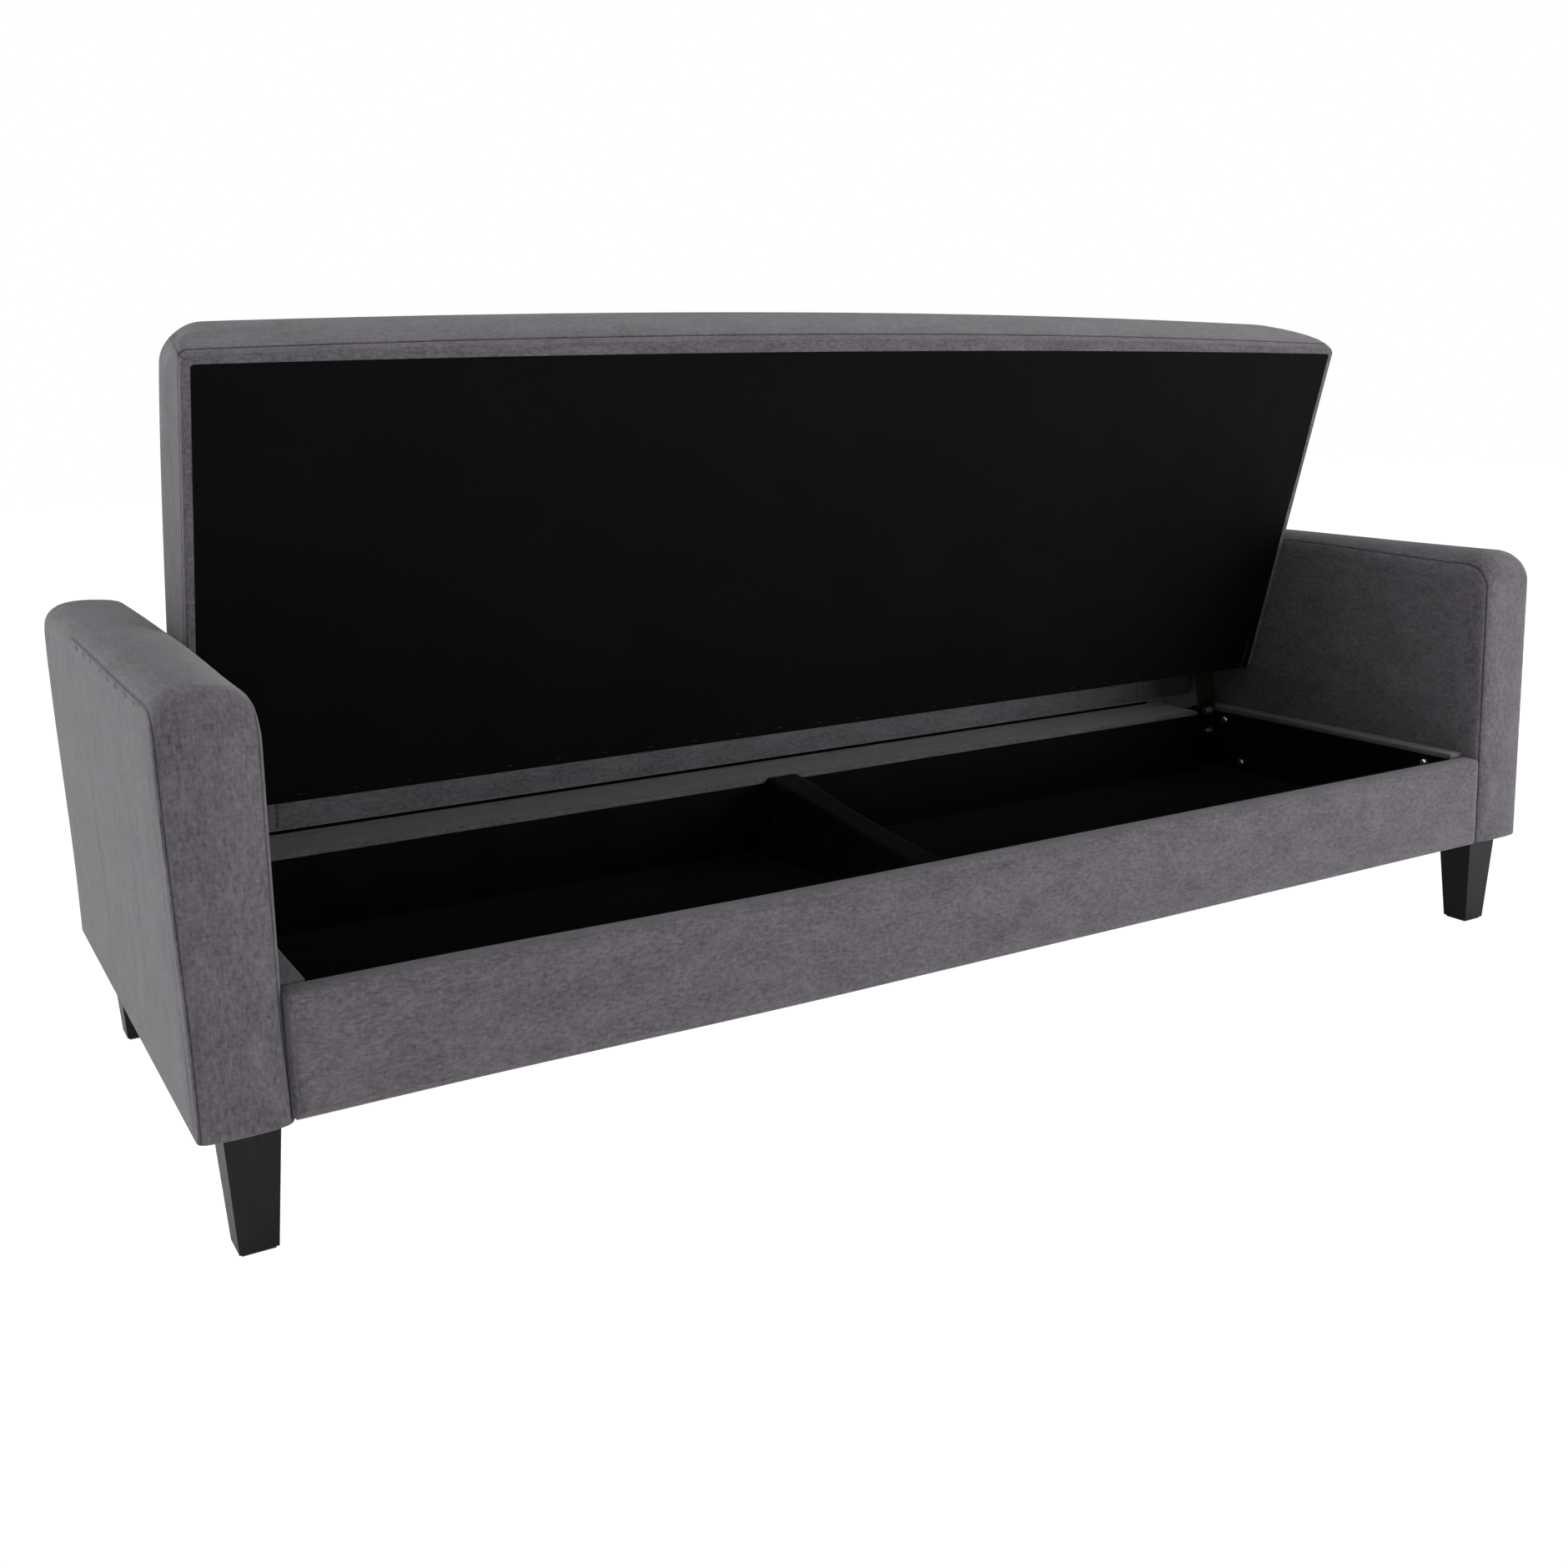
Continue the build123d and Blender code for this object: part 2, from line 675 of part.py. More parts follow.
def catch_form():
    """Catch with its nose in a ratchet notch."""
    toward = radians(ratchet_angle)
    boss = disc(catch_pin_y, catch_pin_z, catch_boss_radius)
    tip_y = seat_pivot_y + catch_tip_reach * cos(toward)
    tip_z = seat_pivot_z + catch_tip_reach * sin(toward)
    lever = hull_of(boss, disc(tip_y, tip_z, catch_tip_radius))
    nose = panel(
        seat_hub_radius - catch_nose_inset, catch_tip_reach, -catch_nose_width / 2, catch_nose_width / 2
    )
    nose = Pos(seat_pivot_y, seat_pivot_z) * Rot(0, 0, ratchet_angle) * nose
    hole = rod_along_x(
        hinge_arm_inner - thin_gap, bracket_outer, catch_pin_y, catch_pin_z, catch_pin_radius + pin_clearance
    )
    return side_plate(lever + nose, hinge_arm_inner, hinge_arm_outer) - hole


def make_hinges():
    pivots = ((seat_pivot_y, seat_pivot_z), (back_pivot_y, back_pivot_z))
    seat_end = disc(seat_pivot_y, seat_pivot_z, bracket_seat_end_radius)
    head_inner = bracket_inner - bolt_head_height
    back_end = disc(back_pivot_y, back_pivot_z, bracket_back_end_radius)
    foot = panel(bracket_foot_front, bracket_foot_rear, bracket_foot_bottom, bracket_foot_top)
    plate = hull_of(seat_end, foot) + hull_of(seat_end, back_end)
    bracket = side_plate(plate, bracket_inner, bracket_outer)
    bracket = bracket - bracket_bolt_holes()
    bracket = bracket - rod_along_x(
        bracket_inner, bracket_outer, catch_pin_y, catch_pin_z, catch_pin_radius + pin_clearance
    )
    pins, nuts, washers, bolts = [], [], [], []
    for y, z in pivots:
        bracket = bracket - pivot_hole(y, z)
        shank = rod_along_x(pin_nut_inner, bracket_outer, y, z, pin_radius)
        pin = shank + rod_along_x(bracket_outer, pin_head_outer, y, z, pin_head_radius)
        hole = pivot_hole(y, z)
        nut = rod_along_x(pin_nut_inner, pin_nut_outer, y, z, pin_nut_radius) - hole
        washer = rod_along_x(
            hinge_arm_outer + pin_clearance, bracket_inner - pin_clearance, y, z, washer_radius
        )
        washer = washer - hole
        pins += [pin, mirrored(pin)]
        nuts += [nut, mirrored(nut)]
        washers += [washer, mirrored(washer)]
    for z in bracket_bolt_heights:
        head = rod_along_x(head_inner, bracket_inner, bracket_bolt_y, z, bolt_head_radius)
        shank = rod_along_x(bracket_inner, arm_inner - bolt_end_gap, bracket_bolt_y, z, bolt_radius)
        bolts += [head + shank, mirrored(head + shank)]
    catch_pin = rod_along_x(
        hinge_arm_inner - thin_gap, bracket_outer, catch_pin_y, catch_pin_z, catch_pin_radius
    )
    save_pair("hinge_bracket", bracket)
    save("pivot_pins", *pins)
    save("pivot_nuts", *nuts)
    save("pivot_washers", *washers)
    save("bracket_bolts", *bolts)
    save("catch_pins", catch_pin, mirrored(catch_pin))
    save_pair("catch", turned(catch_form(), -catch_lift_angle, catch_pin_y, catch_pin_z))
    save_pair("seat_hinge_arm", lifted(seat_hinge_arm()))
    save_pair("back_hinge_arm", back_hinge_arm())
    save("seat_arm_screws", *hinge_screws("seat", lifted))
    save("back_arm_screws", *hinge_screws("back", lambda shape: shape))


os.makedirs("parts", exist_ok=True)
make_arms()
make_legs()
make_front_rail()
make_side_boards()
make_rear_beam()
make_centre_beam()
make_floor_and_linings()
make_stretcher()
seat_notch = hinge_notch(seat_rear - seat_notch_depth, seat_rear + thin_gap, seat_bottom)
save_cushion("seat", "seat_dust_cover", seat_rear, seat_front, seat_bottom, seat_notch, lifted)
back_notch_low = back_pivot_z - back_notch_drop
back_notch = hinge_notch(back_front - thin_gap, back_front + back_notch_depth, back_notch_low)
save_cushion("back", "back_panel", back_front, back_rear, back_bottom, back_notch, lambda shape: shape)
make_hinges()
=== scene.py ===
"""Looks of the sofa bed: upholstery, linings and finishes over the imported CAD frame."""
import json
import math

import bmesh
import bpy
import numpy as np
from mathutils import Matrix, Vector


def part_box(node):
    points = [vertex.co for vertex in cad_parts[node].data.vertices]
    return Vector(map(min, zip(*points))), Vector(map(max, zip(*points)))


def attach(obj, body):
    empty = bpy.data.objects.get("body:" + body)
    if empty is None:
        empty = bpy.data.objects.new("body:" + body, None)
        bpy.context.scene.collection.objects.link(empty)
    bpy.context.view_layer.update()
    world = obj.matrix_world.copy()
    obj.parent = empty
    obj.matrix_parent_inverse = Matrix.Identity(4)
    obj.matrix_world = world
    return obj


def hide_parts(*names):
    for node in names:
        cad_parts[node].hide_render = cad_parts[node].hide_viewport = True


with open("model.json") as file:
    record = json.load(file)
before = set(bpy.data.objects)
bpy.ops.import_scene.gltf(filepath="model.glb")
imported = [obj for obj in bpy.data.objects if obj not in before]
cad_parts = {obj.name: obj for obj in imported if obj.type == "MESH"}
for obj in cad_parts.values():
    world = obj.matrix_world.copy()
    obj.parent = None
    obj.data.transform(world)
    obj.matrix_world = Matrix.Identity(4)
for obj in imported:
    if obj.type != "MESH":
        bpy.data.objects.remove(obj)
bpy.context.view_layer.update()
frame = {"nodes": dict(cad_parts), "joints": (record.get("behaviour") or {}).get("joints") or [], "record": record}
nodes = frame["nodes"]

# The photograph's camera, in metres and degrees
IMAGE_SIZE = 1880
FOCAL_PIXELS = 1962.53
CENTRE_ROW = 795.41
CAMERA_PLACE = Vector((-1.3175, -2.2045, 0.892))
CAMERA_AZIMUTH = -30.361
CAMERA_ELEVATION = 9.3866
CAMERA_ROLL = -1.2147
SENSOR_WIDTH = 36.0

# Seams
SEAM_DEPTH = 0.0020
SEAM_HALF_WIDTH = 0.0012
SEAM_OFFSETS = (0.0007, 0.0015, 0.0026, 0.0045)
NO_SEAM = 0.05
PUCKER_HEIGHT = 0.0005
PUCKER_REACH = 0.012
PUCKER_CYCLES = 47
UPRIGHT_SEAM_DEPTH = 0.0012
UPRIGHT_SEAM_WIDTH = 0.006

# The cloth solver, and the rounds that even out its result
CLOTH_SETTINGS = {
    "quality": 6,
    "mass": 0.4,
    "tension_stiffness": 25,
    "compression_stiffness": 25,
    "shear_stiffness": 12,
    "bending_stiffness": 3,
    "use_pressure": True,
    "vertex_group_mass": "held",
}
SWELLING_FRAMES = 20
EVENING_ROUNDS = 10

# Steps of the closed forms: half a corner of a loop, and the rounded edge between side and panel
CORNER_STEPS = 6
EDGE_LEVELS = 6

# Arms
ARM_SHOULDER = 0.600
ARM_FRONT_ROOM = 0.003
ARM_FRONT_CORNER = 0.031
ARM_REAR_CORNER = 0.021
ARM_LOW_CORNER = 0.003
ARM_PANEL_INSET = 0.001
ARM_COUNTS = (84, 46)
ARM_PRESSURE = 2.0
ARM_SWELL = 0.002
ARM_SETTLING_HEIGHT = 0.2
ARM_FRONT_DROP = 0.008
ARM_INNER_FRONT_DROP = 0.013
ARM_INNER_REAR_RISE = 0.005
ARM_INNER_REACH = 0.045
ARM_SEAM_END = 0.54
ARM_SEAM_FADE = 0.05
ARM_SEAM_STRENGTH = 0.5
ARM_INNER_LEANS = {"left": 0.0055, "right": 0.0}
ARM_INNER_LEAN_HEIGHT = 0.14
ARM_OUTER_LEANS = {"left": (-0.006, 0.0125), "right": (0.002, 0.002)}
# The arm's section in millimetres: the place from the inner face, then how far the top, the front
# and rear, and the bottom stand out there
ARM_SECTION = (
    (0.0, -10.0, -42.0, -2.0),
    (0.5, -4.0, -28.0, -1.0),
    (1.5, 2.0, -18.0, -0.4),
    (3.5, 8.0, -11.0, 0.0),
    (7.0, 13.3, -5.8, 0.0),
    (13.0, 17.8, -1.6, 0.0),
    (21.0, 20.9, 0.6, 0.0),
    (32.0, 23.2, 2.2, 0.0),
    (45.0, 24.8, 2.8, 0.0),
    (57.0, 25.2, 3.0, 0.0),
    (68.0, 24.8, 2.9, 0.0),
    (78.0, 23.4, 2.4, 0.0),
    (87.0, 20.6, 1.7, 0.0),
    (94.0, 16.4, 0.6, 0.0),
    (99.0, 11.6, -0.9, 0.0),
    (102.5, 6.4, -3.2, 0.0),
    (104.8, 1.0, -6.6, 0.0),
    (105.7, -4.0, -9.8, -0.6),
    (106.0, -12.0, -15.0, -1.5),
)
# Where frame bars press through the outer face: line ends in metres behind the arm's front, and in height
ARM_PRESSED_LINES = (
    ((0.16, 0.425), (0.52, 0.415)),
    ((0.50, 0.272), (0.80, 0.268)),
    ((0.22, 0.20), (0.225, 0.43)),
    ((0.50, 0.22), (0.505, 0.53)),
)
ARM_OUTER_FACE = 1.04
PRESSED_HEIGHT = 0.0012
PRESSED_WIDTH = 0.006

# Cushions
CUSHION_START_INSET = 0.002
CUSHION_END_INSET = 0.018
CUSHION_FREE_INSET = 0.016
CUSHION_HINGE_INSET = 0.065
CUSHION_CORNER = 0.050
CUSHION_LOW_CORNER = 0.010
CUSHION_HINGE_CORNER = 0.012
CUSHION_LOW_HINGE_CORNER = 0.004
CUSHION_TOP_CORNERS = (0.040, 0.030)
CUSHION_LEAST_RISE = 0.010
CUSHION_SEAM_ROOM = 0.035
CUSHION_SHARP_HEIGHT = 0.02
CUSHION_SHARP_FADE = 0.10
CUSHION_LOW_EDGE = 0.004
CUSHION_TAPER = 0.006
CUSHION_CROWN = 0.008
CUSHION_BOW = 0.018
CUSHION_REACH = 0.9465
CUSHION_COUNTS = (156, 52)
CUSHION_PRESSURE = 4.0
CUSHION_PINS = (0.9, 0.35)
CUSHION_SWELL = 0.006
CUSHION_HINGE_SIDE = 0.02
BOXING_BULGE = 0.003
BOXING_FREE_BULGE = 0.010
LOWER_SEAM = 0.013
LOWER_SEAM_STEPS = 4
UPPER_SEAM_STEPS = 7


# Mesh helpers
def mesh_object(name, points, faces):
    mesh = bpy.data.meshes.new(name)
    mesh.from_pydata([tuple(p) for p in points], [], [tuple(int(k) for k in f) for f in faces])
    mesh.update()
    piece = bpy.data.objects.new(name, mesh)
    bpy.context.scene.collection.objects.link(piece)
    return piece


def smooth(piece):
    piece.data.polygons.foreach_set("use_smooth", [True] * len(piece.data.polygons))


def face_outwards(piece):
    work = bmesh.new()
    work.from_mesh(piece.data)
    bmesh.ops.recalc_face_normals(work, faces=work.faces)
    work.to_mesh(piece.data)
    work.free()


def ripple(run, cycles):
    """Smooth uneven wave along a length in metres, between -1 and 1."""
    total = np.zeros_like(run)
    for number, (share, factor) in enumerate(((0.5, 1.0), (0.3, 1.63), (0.2, 2.41))):
        total += share * np.sin(2 * np.pi * cycles * factor * run + 1.7 * number)
    return total


def ease(value):
    value = np.clip(value, 0, 1)
    return value * value * (3 - 2 * value)


# Closed upholstered forms
def rounded_loop(a_range, b_range, radii, counts):
    """Points round a rectangle with rounded corners, each side starting at the middle of a corner."""
    (a_low, a_high), (b_low, b_high) = a_range, b_range
    corners = (
        (a_low, b_low, 1, 1), (a_high, b_low, -1, 1), (a_high, b_high, -1, -1), (a_low, b_high, 1, -1),
    )

    def half_corner(number, turn):
        a, b, a_sign, b_sign = corners[number % 4]
        radius = radii[number % 4]
        centre = np.array([a + a_sign * radius, b + b_sign * radius])
        angles = np.radians(turn + np.linspace(0, 45, CORNER_STEPS + 1))
        return centre + radius * np.stack([np.cos(angles), np.sin(angles)], 1)

    points = []
    for side in range(4):
        turn = 225 + 90 * side
        head, tail = half_corner(side, turn), half_corner(side + 1, turn + 45)
        steps = counts[side % 2] - 2 * CORNER_STEPS
        share = np.linspace(0, 1, steps + 1)[1:-1, None]
        middle = head[-1] * (1 - share) + tail[0] * share
        points.append(np.concatenate([head, middle, tail[:-1]]))
    return np.concatenate(points)


def loop_normals(loop):
    along = np.roll(loop, -1, 0) - np.roll(loop, 1, 0)
    out = np.stack([along[:, 1], -along[:, 0]], 1)
    return out / np.linalg.norm(out, axis=1, keepdims=True)


def blurred(values, width):
    """Values round a loop, averaged over a number of neighbours each way."""
    return np.mean([np.roll(values, shift) for shift in range(-width, width + 1)], 0)


def stacked_loops(low, side, high, bottom, top, low_rise, high_rise, crown, fractions):
    """Loops from the lower panel's edge, over the side, to the upper panel's edge."""
    arc = np.radians(np.linspace(0, 90, EDGE_LEVELS))
    out = loop_normals(side)
    levels = []
    for angle in arc:
        plan = side + (low - side) * (1 - math.sin(angle))
        levels.append(np.column_stack([plan, bottom + low_rise * (1 - math.cos(angle))]))
    for share in fractions:
        plan = side + out * (crown * (1 - (2 * share - 1) ** 2) ** 0.8)[:, None]
        height = (bottom + low_rise) * (1 - share) + (top - high_rise) * share
        levels.append(np.column_stack([plan, height]))
    for angle in reversed(arc):
        plan = side + (high - side) * (1 - math.sin(angle))
        levels.append(np.column_stack([plan, top - high_rise * (1 - math.cos(angle))]))
    return np.array(levels)


def edge_share(edge):
    steps = np.linalg.norm(np.diff(edge, axis=0), axis=1)
    return np.concatenate([[0], np.cumsum(steps)]) / steps.sum()


def four_sides(ring, counts):
    """First, right, last and left side of a ring of points or numbers, each from its low end."""
    along, across = counts
    closed = np.concatenate([ring, ring[:1]])
    far = along + across
    first, right = closed[: along + 1], closed[along : far + 1]
    return first, right, closed[far : far + along + 1][::-1], closed[far + along :][::-1]


def filled_panel(loop, counts):
    """Grid of points inside a loop, worked out from its four sides."""
    first, right, last, left = four_sides(loop, counts)
    u = ((edge_share(first) + edge_share(last)) / 2)[None, :, None]
    v = ((edge_share(left) + edge_share(right)) / 2)[:, None, None]
    ruled = (1 - v) * first[None] + v * last[None] + (1 - u) * left[:, None] + u * right[:, None]
    corners = (1 - u) * (1 - v) * first[0] + u * (1 - v) * first[-1]
    corners = corners + (1 - u) * v * last[0] + u * v * last[-1]
    return ruled - corners


def grid_faces(k):
    """Faces between the points of a grid, given the grid of their numbers."""
    return np.stack([k[:-1, :-1], k[:-1, 1:], k[1:, 1:], k[1:, :-1]], -1).reshape(-1, 4)


class Form:
    """Closed shape made of a stack of loops and a panel over each end."""

    def __init__(self, loops, counts, low=None, high=None):
        self.loops = np.array(loops)
        self.counts = counts
        self.low = filled_panel(self.loops[0], counts) if low is None else low
        self.high = filled_panel(self.loops[-1], counts) if high is None else high

    def points(self):
        inner = [panel[1:-1, 1:-1].reshape(-1, 3) for panel in (self.low, self.high)]
        return np.concatenate([self.loops.reshape(-1, 3), *inner])

    def panel_numbers(self, upper):
        along, across = self.counts
        levels, count = self.loops.shape[:2]
        base = (levels - 1) * count if upper else 0
        inner = (along - 1) * (across - 1)
        numbers = np.zeros((across + 1, along + 1), int)
        sides = four_sides(base + np.arange(count), self.counts)
        numbers[0], numbers[:, -1], numbers[-1], numbers[:, 0] = sides
        start = levels * count + (inner if upper else 0)
        numbers[1:-1, 1:-1] = start + np.arange(inner).reshape(across - 1, along - 1)
        return numbers

    def faces_and_weave(self, axes):
        """Faces, and for each of their corners its place on the cloth in metres.

        Axes are the two along and across the cloth, for both panels or as a pair for the lower and
        the upper one.
        """
        panel_axes = axes if isinstance(axes[0], tuple) else (axes, axes)
        levels, count = self.loops.shape[:2]
        middle = self.loops[levels // 2]
        steps = np.linalg.norm(np.roll(middle, -1, 0) - middle, axis=1)
        run = np.concatenate([[0], np.cumsum(steps)])
        rise = self.level_places()
        i, j = (grid.ravel() for grid in np.meshgrid(np.arange(count), np.arange(levels - 1)))
        corners = ((0, 0), (1, 0), (1, 1), (0, 1))
        faces = [np.stack([(j + up) * count + (i + on) % count for on, up in corners], 1)]
        weave = [np.stack([np.stack([run[i + on], rise[j + up]], 1) for on, up in corners], 1)]
        points = self.points()
        for upper in (False, True):
            faces.append(grid_faces(self.panel_numbers(upper)))
            weave.append(points[faces[-1]][:, :, panel_axes[upper]])
        return np.concatenate(faces), np.concatenate(weave)

    def level_places(self):
        """Mean length along the section from the first loop to each loop."""
        steps = np.linalg.norm(np.diff(self.loops, axis=0), axis=2).mean(1)
        return np.concatenate([[0], np.cumsum(steps)])

    def moved_to(self, points):
        levels, count = self.loops.shape[:2]
        loops = points[: levels * count].reshape(levels, count, 3)
        return Form(loops, self.counts, *(points[self.panel_numbers(upper)] for upper in (False, True)))


def swollen(form, held, pressure, cap):
    """The form after the cloth solver has blown it up, with held giving each point's pin weight."""
    start = form.points()
    piece = mesh_object("swelling", start, form.faces_and_weave((0, 1))[0])
    face_outwards(piece)
    group = piece.vertex_groups.new(name="held")
    for weight in np.unique(held):
        if weight > 0:
            group.add([int(k) for k in np.nonzero(held == weight)[0]], float(weight), "REPLACE")
    cloth = piece.modifiers.new("cloth", "CLOTH")
    for key, value in CLOTH_SETTINGS.items():
        setattr(cloth.settings, key, value)
    cloth.settings.uniform_pressure_force = pressure
    cloth.settings.effector_weights.gravity = 0
    cloth.point_cache.frame_start = 1
    cloth.point_cache.frame_end = SWELLING_FRAMES
    scene = bpy.context.scene
    for number in range(1, SWELLING_FRAMES + 1):
        scene.frame_set(number)
    solved = piece.evaluated_get(bpy.context.evaluated_depsgraph_get())
    moved = np.array([v.co for v in solved.data.vertices])
    scene.frame_set(1)
    normals = np.array([v.normal for v in piece.data.vertices])
    edges = np.array([e.vertices for e in piece.data.edges])
    bpy.data.objects.remove(piece)
    amount = np.clip(((moved - start) * normals).sum(1), 0, cap) * (1 - held)
    count = np.bincount(edges.ravel(), minlength=len(amount))
    for _ in range(EVENING_ROUNDS):
        total = np.bincount(edges[:, 0], amount[edges[:, 1]], len(amount))
        total += np.bincount(edges[:, 1], amount[edges[:, 0]], len(amount))
        amount = (0.5 * amount + 0.5 * total / count) * (1 - held)
    return form.moved_to(start + normals * amount[:, None])


def at_places(places, values, wanted):
    """Cubic curve through values at places, read at the wanted places."""
    slopes = np.gradient(values, places, axis=0)
    k = np.clip(np.searchsorted(places, wanted, side="right") - 1, 0, len(places) - 2)
    span = places[k + 1] - places[k]
    t = ((wanted - places[k]) / span)[:, None, None]
    span = span[:, None, None]
    before = values[k] * (1 + 2 * t) * (1 - t) ** 2 + slopes[k] * span * t * (1 - t) ** 2
    after = values[k + 1] * t * t * (3 - 2 * t) + slopes[k + 1] * span * t * t * (t - 1)
    return before + after


def sewn(form, seam_levels, strength, columns=()):
    """Add fine loops beside each seam and press the seam in. Strength is given round the loop.

    Columns are the places round the loop where a seam runs up the side.
    """
    places = form.level_places()
    seams = places[list(seam_levels)]
    extra = [s + sign * d for s in seams for d in SEAM_OFFSETS for sign in (-1, 1)]
    wanted = np.array(sorted(set(np.round(np.concatenate([places, extra]), 6))))
    wanted = wanted[(wanted >= places[0]) & (wanted <= places[-1] + 1e-6)]
    loops = at_places(places, form.loops, np.minimum(wanted, places[-1]))
    loops[0], loops[-1] = form.loops[0], form.loops[-1]
    distance = np.abs(wanted[:, None] - seams[None]).min(1)
    along = np.roll(loops, -1, 1) - np.roll(loops, 1, 1)
    across = np.gradient(loops, axis=0)
    out = np.cross(along, across)
    out /= np.maximum(np.linalg.norm(out, axis=2, keepdims=True), 1e-9)
    middle = loops[len(loops) // 2]
    if ((middle - middle.mean(0)) * out[len(loops) // 2]).sum() < 0:
        out = -out
    steps = np.linalg.norm(np.roll(middle, -1, 0) - middle, axis=1)
    run = np.cumsum(steps)
    upright = np.full(len(run), NO_SEAM)
    for column in columns:
        away = np.abs(run - run[column])
        upright = np.minimum(upright, np.minimum(away, run[-1] - away))
    press = -SEAM_DEPTH * np.exp(-((distance / SEAM_HALF_WIDTH) ** 2))
    press_upright = -UPRIGHT_SEAM_DEPTH * np.exp(-((upright / UPRIGHT_SEAM_WIDTH) ** 2))
    pucker = PUCKER_HEIGHT * np.exp(-distance / PUCKER_REACH)[:, None] * ripple(run, PUCKER_CYCLES)[None]
    fade = np.minimum(np.arange(len(loops)), np.arange(len(loops))[::-1]) > 0
    shift = ((press[:, None] + pucker) * strength[None] + press_upright[None]) * fade[:, None]
    loops += out * shift[:, :, None]
    made = Form(loops, form.counts, form.low, form.high)
    # Distances to the seams, where the fabric paints shade along the groove: seams pressed at 0.2 or less get
    # none, upright seams always do
    seam = np.full(len(made.points()), NO_SEAM)
    nearest = np.minimum(np.where(strength[None] > 0.2, distance[:, None], NO_SEAM), upright[None])
    seam[: loops.shape[0] * loops.shape[1]] = nearest.ravel()
    return made, seam


def add_cloth_maps(piece, weave, seam=None):
    """Store each face corner's place on the cloth, and each point's distance to a seam."""
    if seam is None:
        seam = np.full(len(piece.data.vertices), NO_SEAM)
    layer = piece.data.uv_layers.new(name="weave")
    layer.data.foreach_set("uv", weave.reshape(-1).astype(np.float32))
    attribute = piece.data.attributes.new("seam", "FLOAT", "POINT")
    attribute.data.foreach_set("value", seam.astype(np.float32))


def upholstered(name, form, axes, seam=None):
    """The form as a fabric piece, with its weave map and its distances to the seams."""
    faces, weave = form.faces_and_weave(axes)
    piece = mesh_object(name, form.points(), faces)
    add_cloth_maps(piece, weave, seam)
    face_outwards(piece)
    smooth(piece)
    return piece


# Materials
def add(tree, kind, links=None, **settings):
    node = tree.nodes.new("ShaderNode" + kind)
    for key, value in settings.items():
        setattr(node, key, value)
    for socket, value in (links or {}).items():
        if isinstance(value, bpy.types.NodeSocket):
            tree.links.new(value, node.inputs[socket])
        else:
            node.inputs[socket].default_value = value
    return node


class Surface:
    """A material with a Principled shader whose constants are set on its own sockets."""

    def __init__(self, name, **constants):
        self.material = bpy.data.materials.new(name)
        self.material.use_nodes = True
        self.tree = self.material.node_tree
        self.tree.nodes.clear()
        sockets = {socket.replace("_", " "): value for socket, value in constants.items()}
        self.shader = add(self.tree, "BsdfPrincipled", sockets)
        self.output = add(self.tree, "OutputMaterial", {0: self.shader.outputs[0]})

    def node(self, kind, links=None, output=0, **settings):
        return add(self.tree, kind, links, **settings).outputs[output]

    def place(self):
        return self.node("TexCoord", output="Object")

    def noise(self, vector, factors, seed, detail=3.0, roughness=0.6):
        """Noise with its own number of features per metre along each axis."""
        place = self.node("VectorMath", {0: vector, 1: factors}, operation="MULTIPLY")
        links = {"Vector": place, "W": seed, "Scale": 1.0, "Detail": detail, "Roughness": roughness}
        return self.node("TexNoise", links, noise_dimensions="4D")

    def waves(self, vector, scale, distortion, direction):
        links = {"Vector": vector, "Scale": scale, "Distortion": distortion}
        return self.node("TexWave", links, 1, bands_direction=direction)

    def math(self, operation, first, second):
        return self.node("Math", {0: first, 1: second}, operation=operation)

    def weighted(self, *parts):
        """Sum of values, each times its weight."""
        total, *others = [self.math("MULTIPLY", value, weight) for value, weight in parts]
        for other in others:
            total = self.math("ADD", total, other)
        return total

    def spread(self, value, low, high, to_low=0.0, to_high=1.0):
        links = {"Value": value, "From Min": low, "From Max": high, "To Min": to_low, "To Max": to_high}
        return self.node("MapRange", links)

    def colours(self, tone, limits, dark, light):
        """Colour from dark to light as the tone goes from one limit to the other."""
        links = {0: self.spread(tone, *limits), 6: (*dark, 1.0), 7: (*light, 1.0)}
        return self.node("Mix", links, 2, data_type="RGBA")

    def link(self, value, socket):
        self.tree.links.new(value, self.shader.inputs[socket])

    def roughen(self, tone, limits):
        self.link(self.spread(tone, 0.3, 0.7, *limits), "Roughness")

    def finished(self, colour, height, distance, strength):
        """The material with its colour, and a bump from a height."""
        self.link(colour, "Base Color")
        bump = {"Height": height, "Distance": distance, "Strength": strength}
        self.link(self.node("Bump", bump), "Normal")
        return self.material


def fabric_material(name, dark, light):
    """Plain-woven heather cloth with slubs along the weft, and painted shade darkening the colour along each
    seam's groove.
    """
    made = Surface(name, Roughness=0.92, Sheen_Weight=0.18, Sheen_Roughness=0.45, Specular_IOR_Level=0.15)
    cloth = made.node("UVMap", uv_map="weave")
    weft = made.noise(cloth, (110, 310, 1), 1.3)
    warp = made.noise(cloth, (310, 120, 1), 5.1)
    speck = made.noise(cloth, (180, 200, 1), 9.7, 3.0, 0.65)
    streak = made.noise(cloth, (13, 24, 1), 3.9, 4.0, 0.65)
    tone = made.weighted((weft, 0.36), (warp, 0.18), (speck, 0.22), (streak, 0.24))
    colour = made.colours(tone, (0.38, 0.62), dark, light)
    seam = made.node("Attribute", output="Fac", attribute_name="seam")
    # Painted shade: the colour falls to 45% right at a seam, standing for the shadow in its pressed-in groove
    painted_seam_shade = made.spread(seam, 0.0005, 0.0023, 0.45, 1.0)
    shaded = made.node("VectorMath", {0: colour, "Scale": painted_seam_shade}, operation="SCALE")
    threads = [made.waves(cloth, 280.0, 0.6, direction) for direction in ("X", "Y")]
    height = made.math("ADD", made.math("MULTIPLY", *threads), made.math("MULTIPLY", weft, 1.4))
    return made.finished(shaded, height, 0.0005, 0.42)


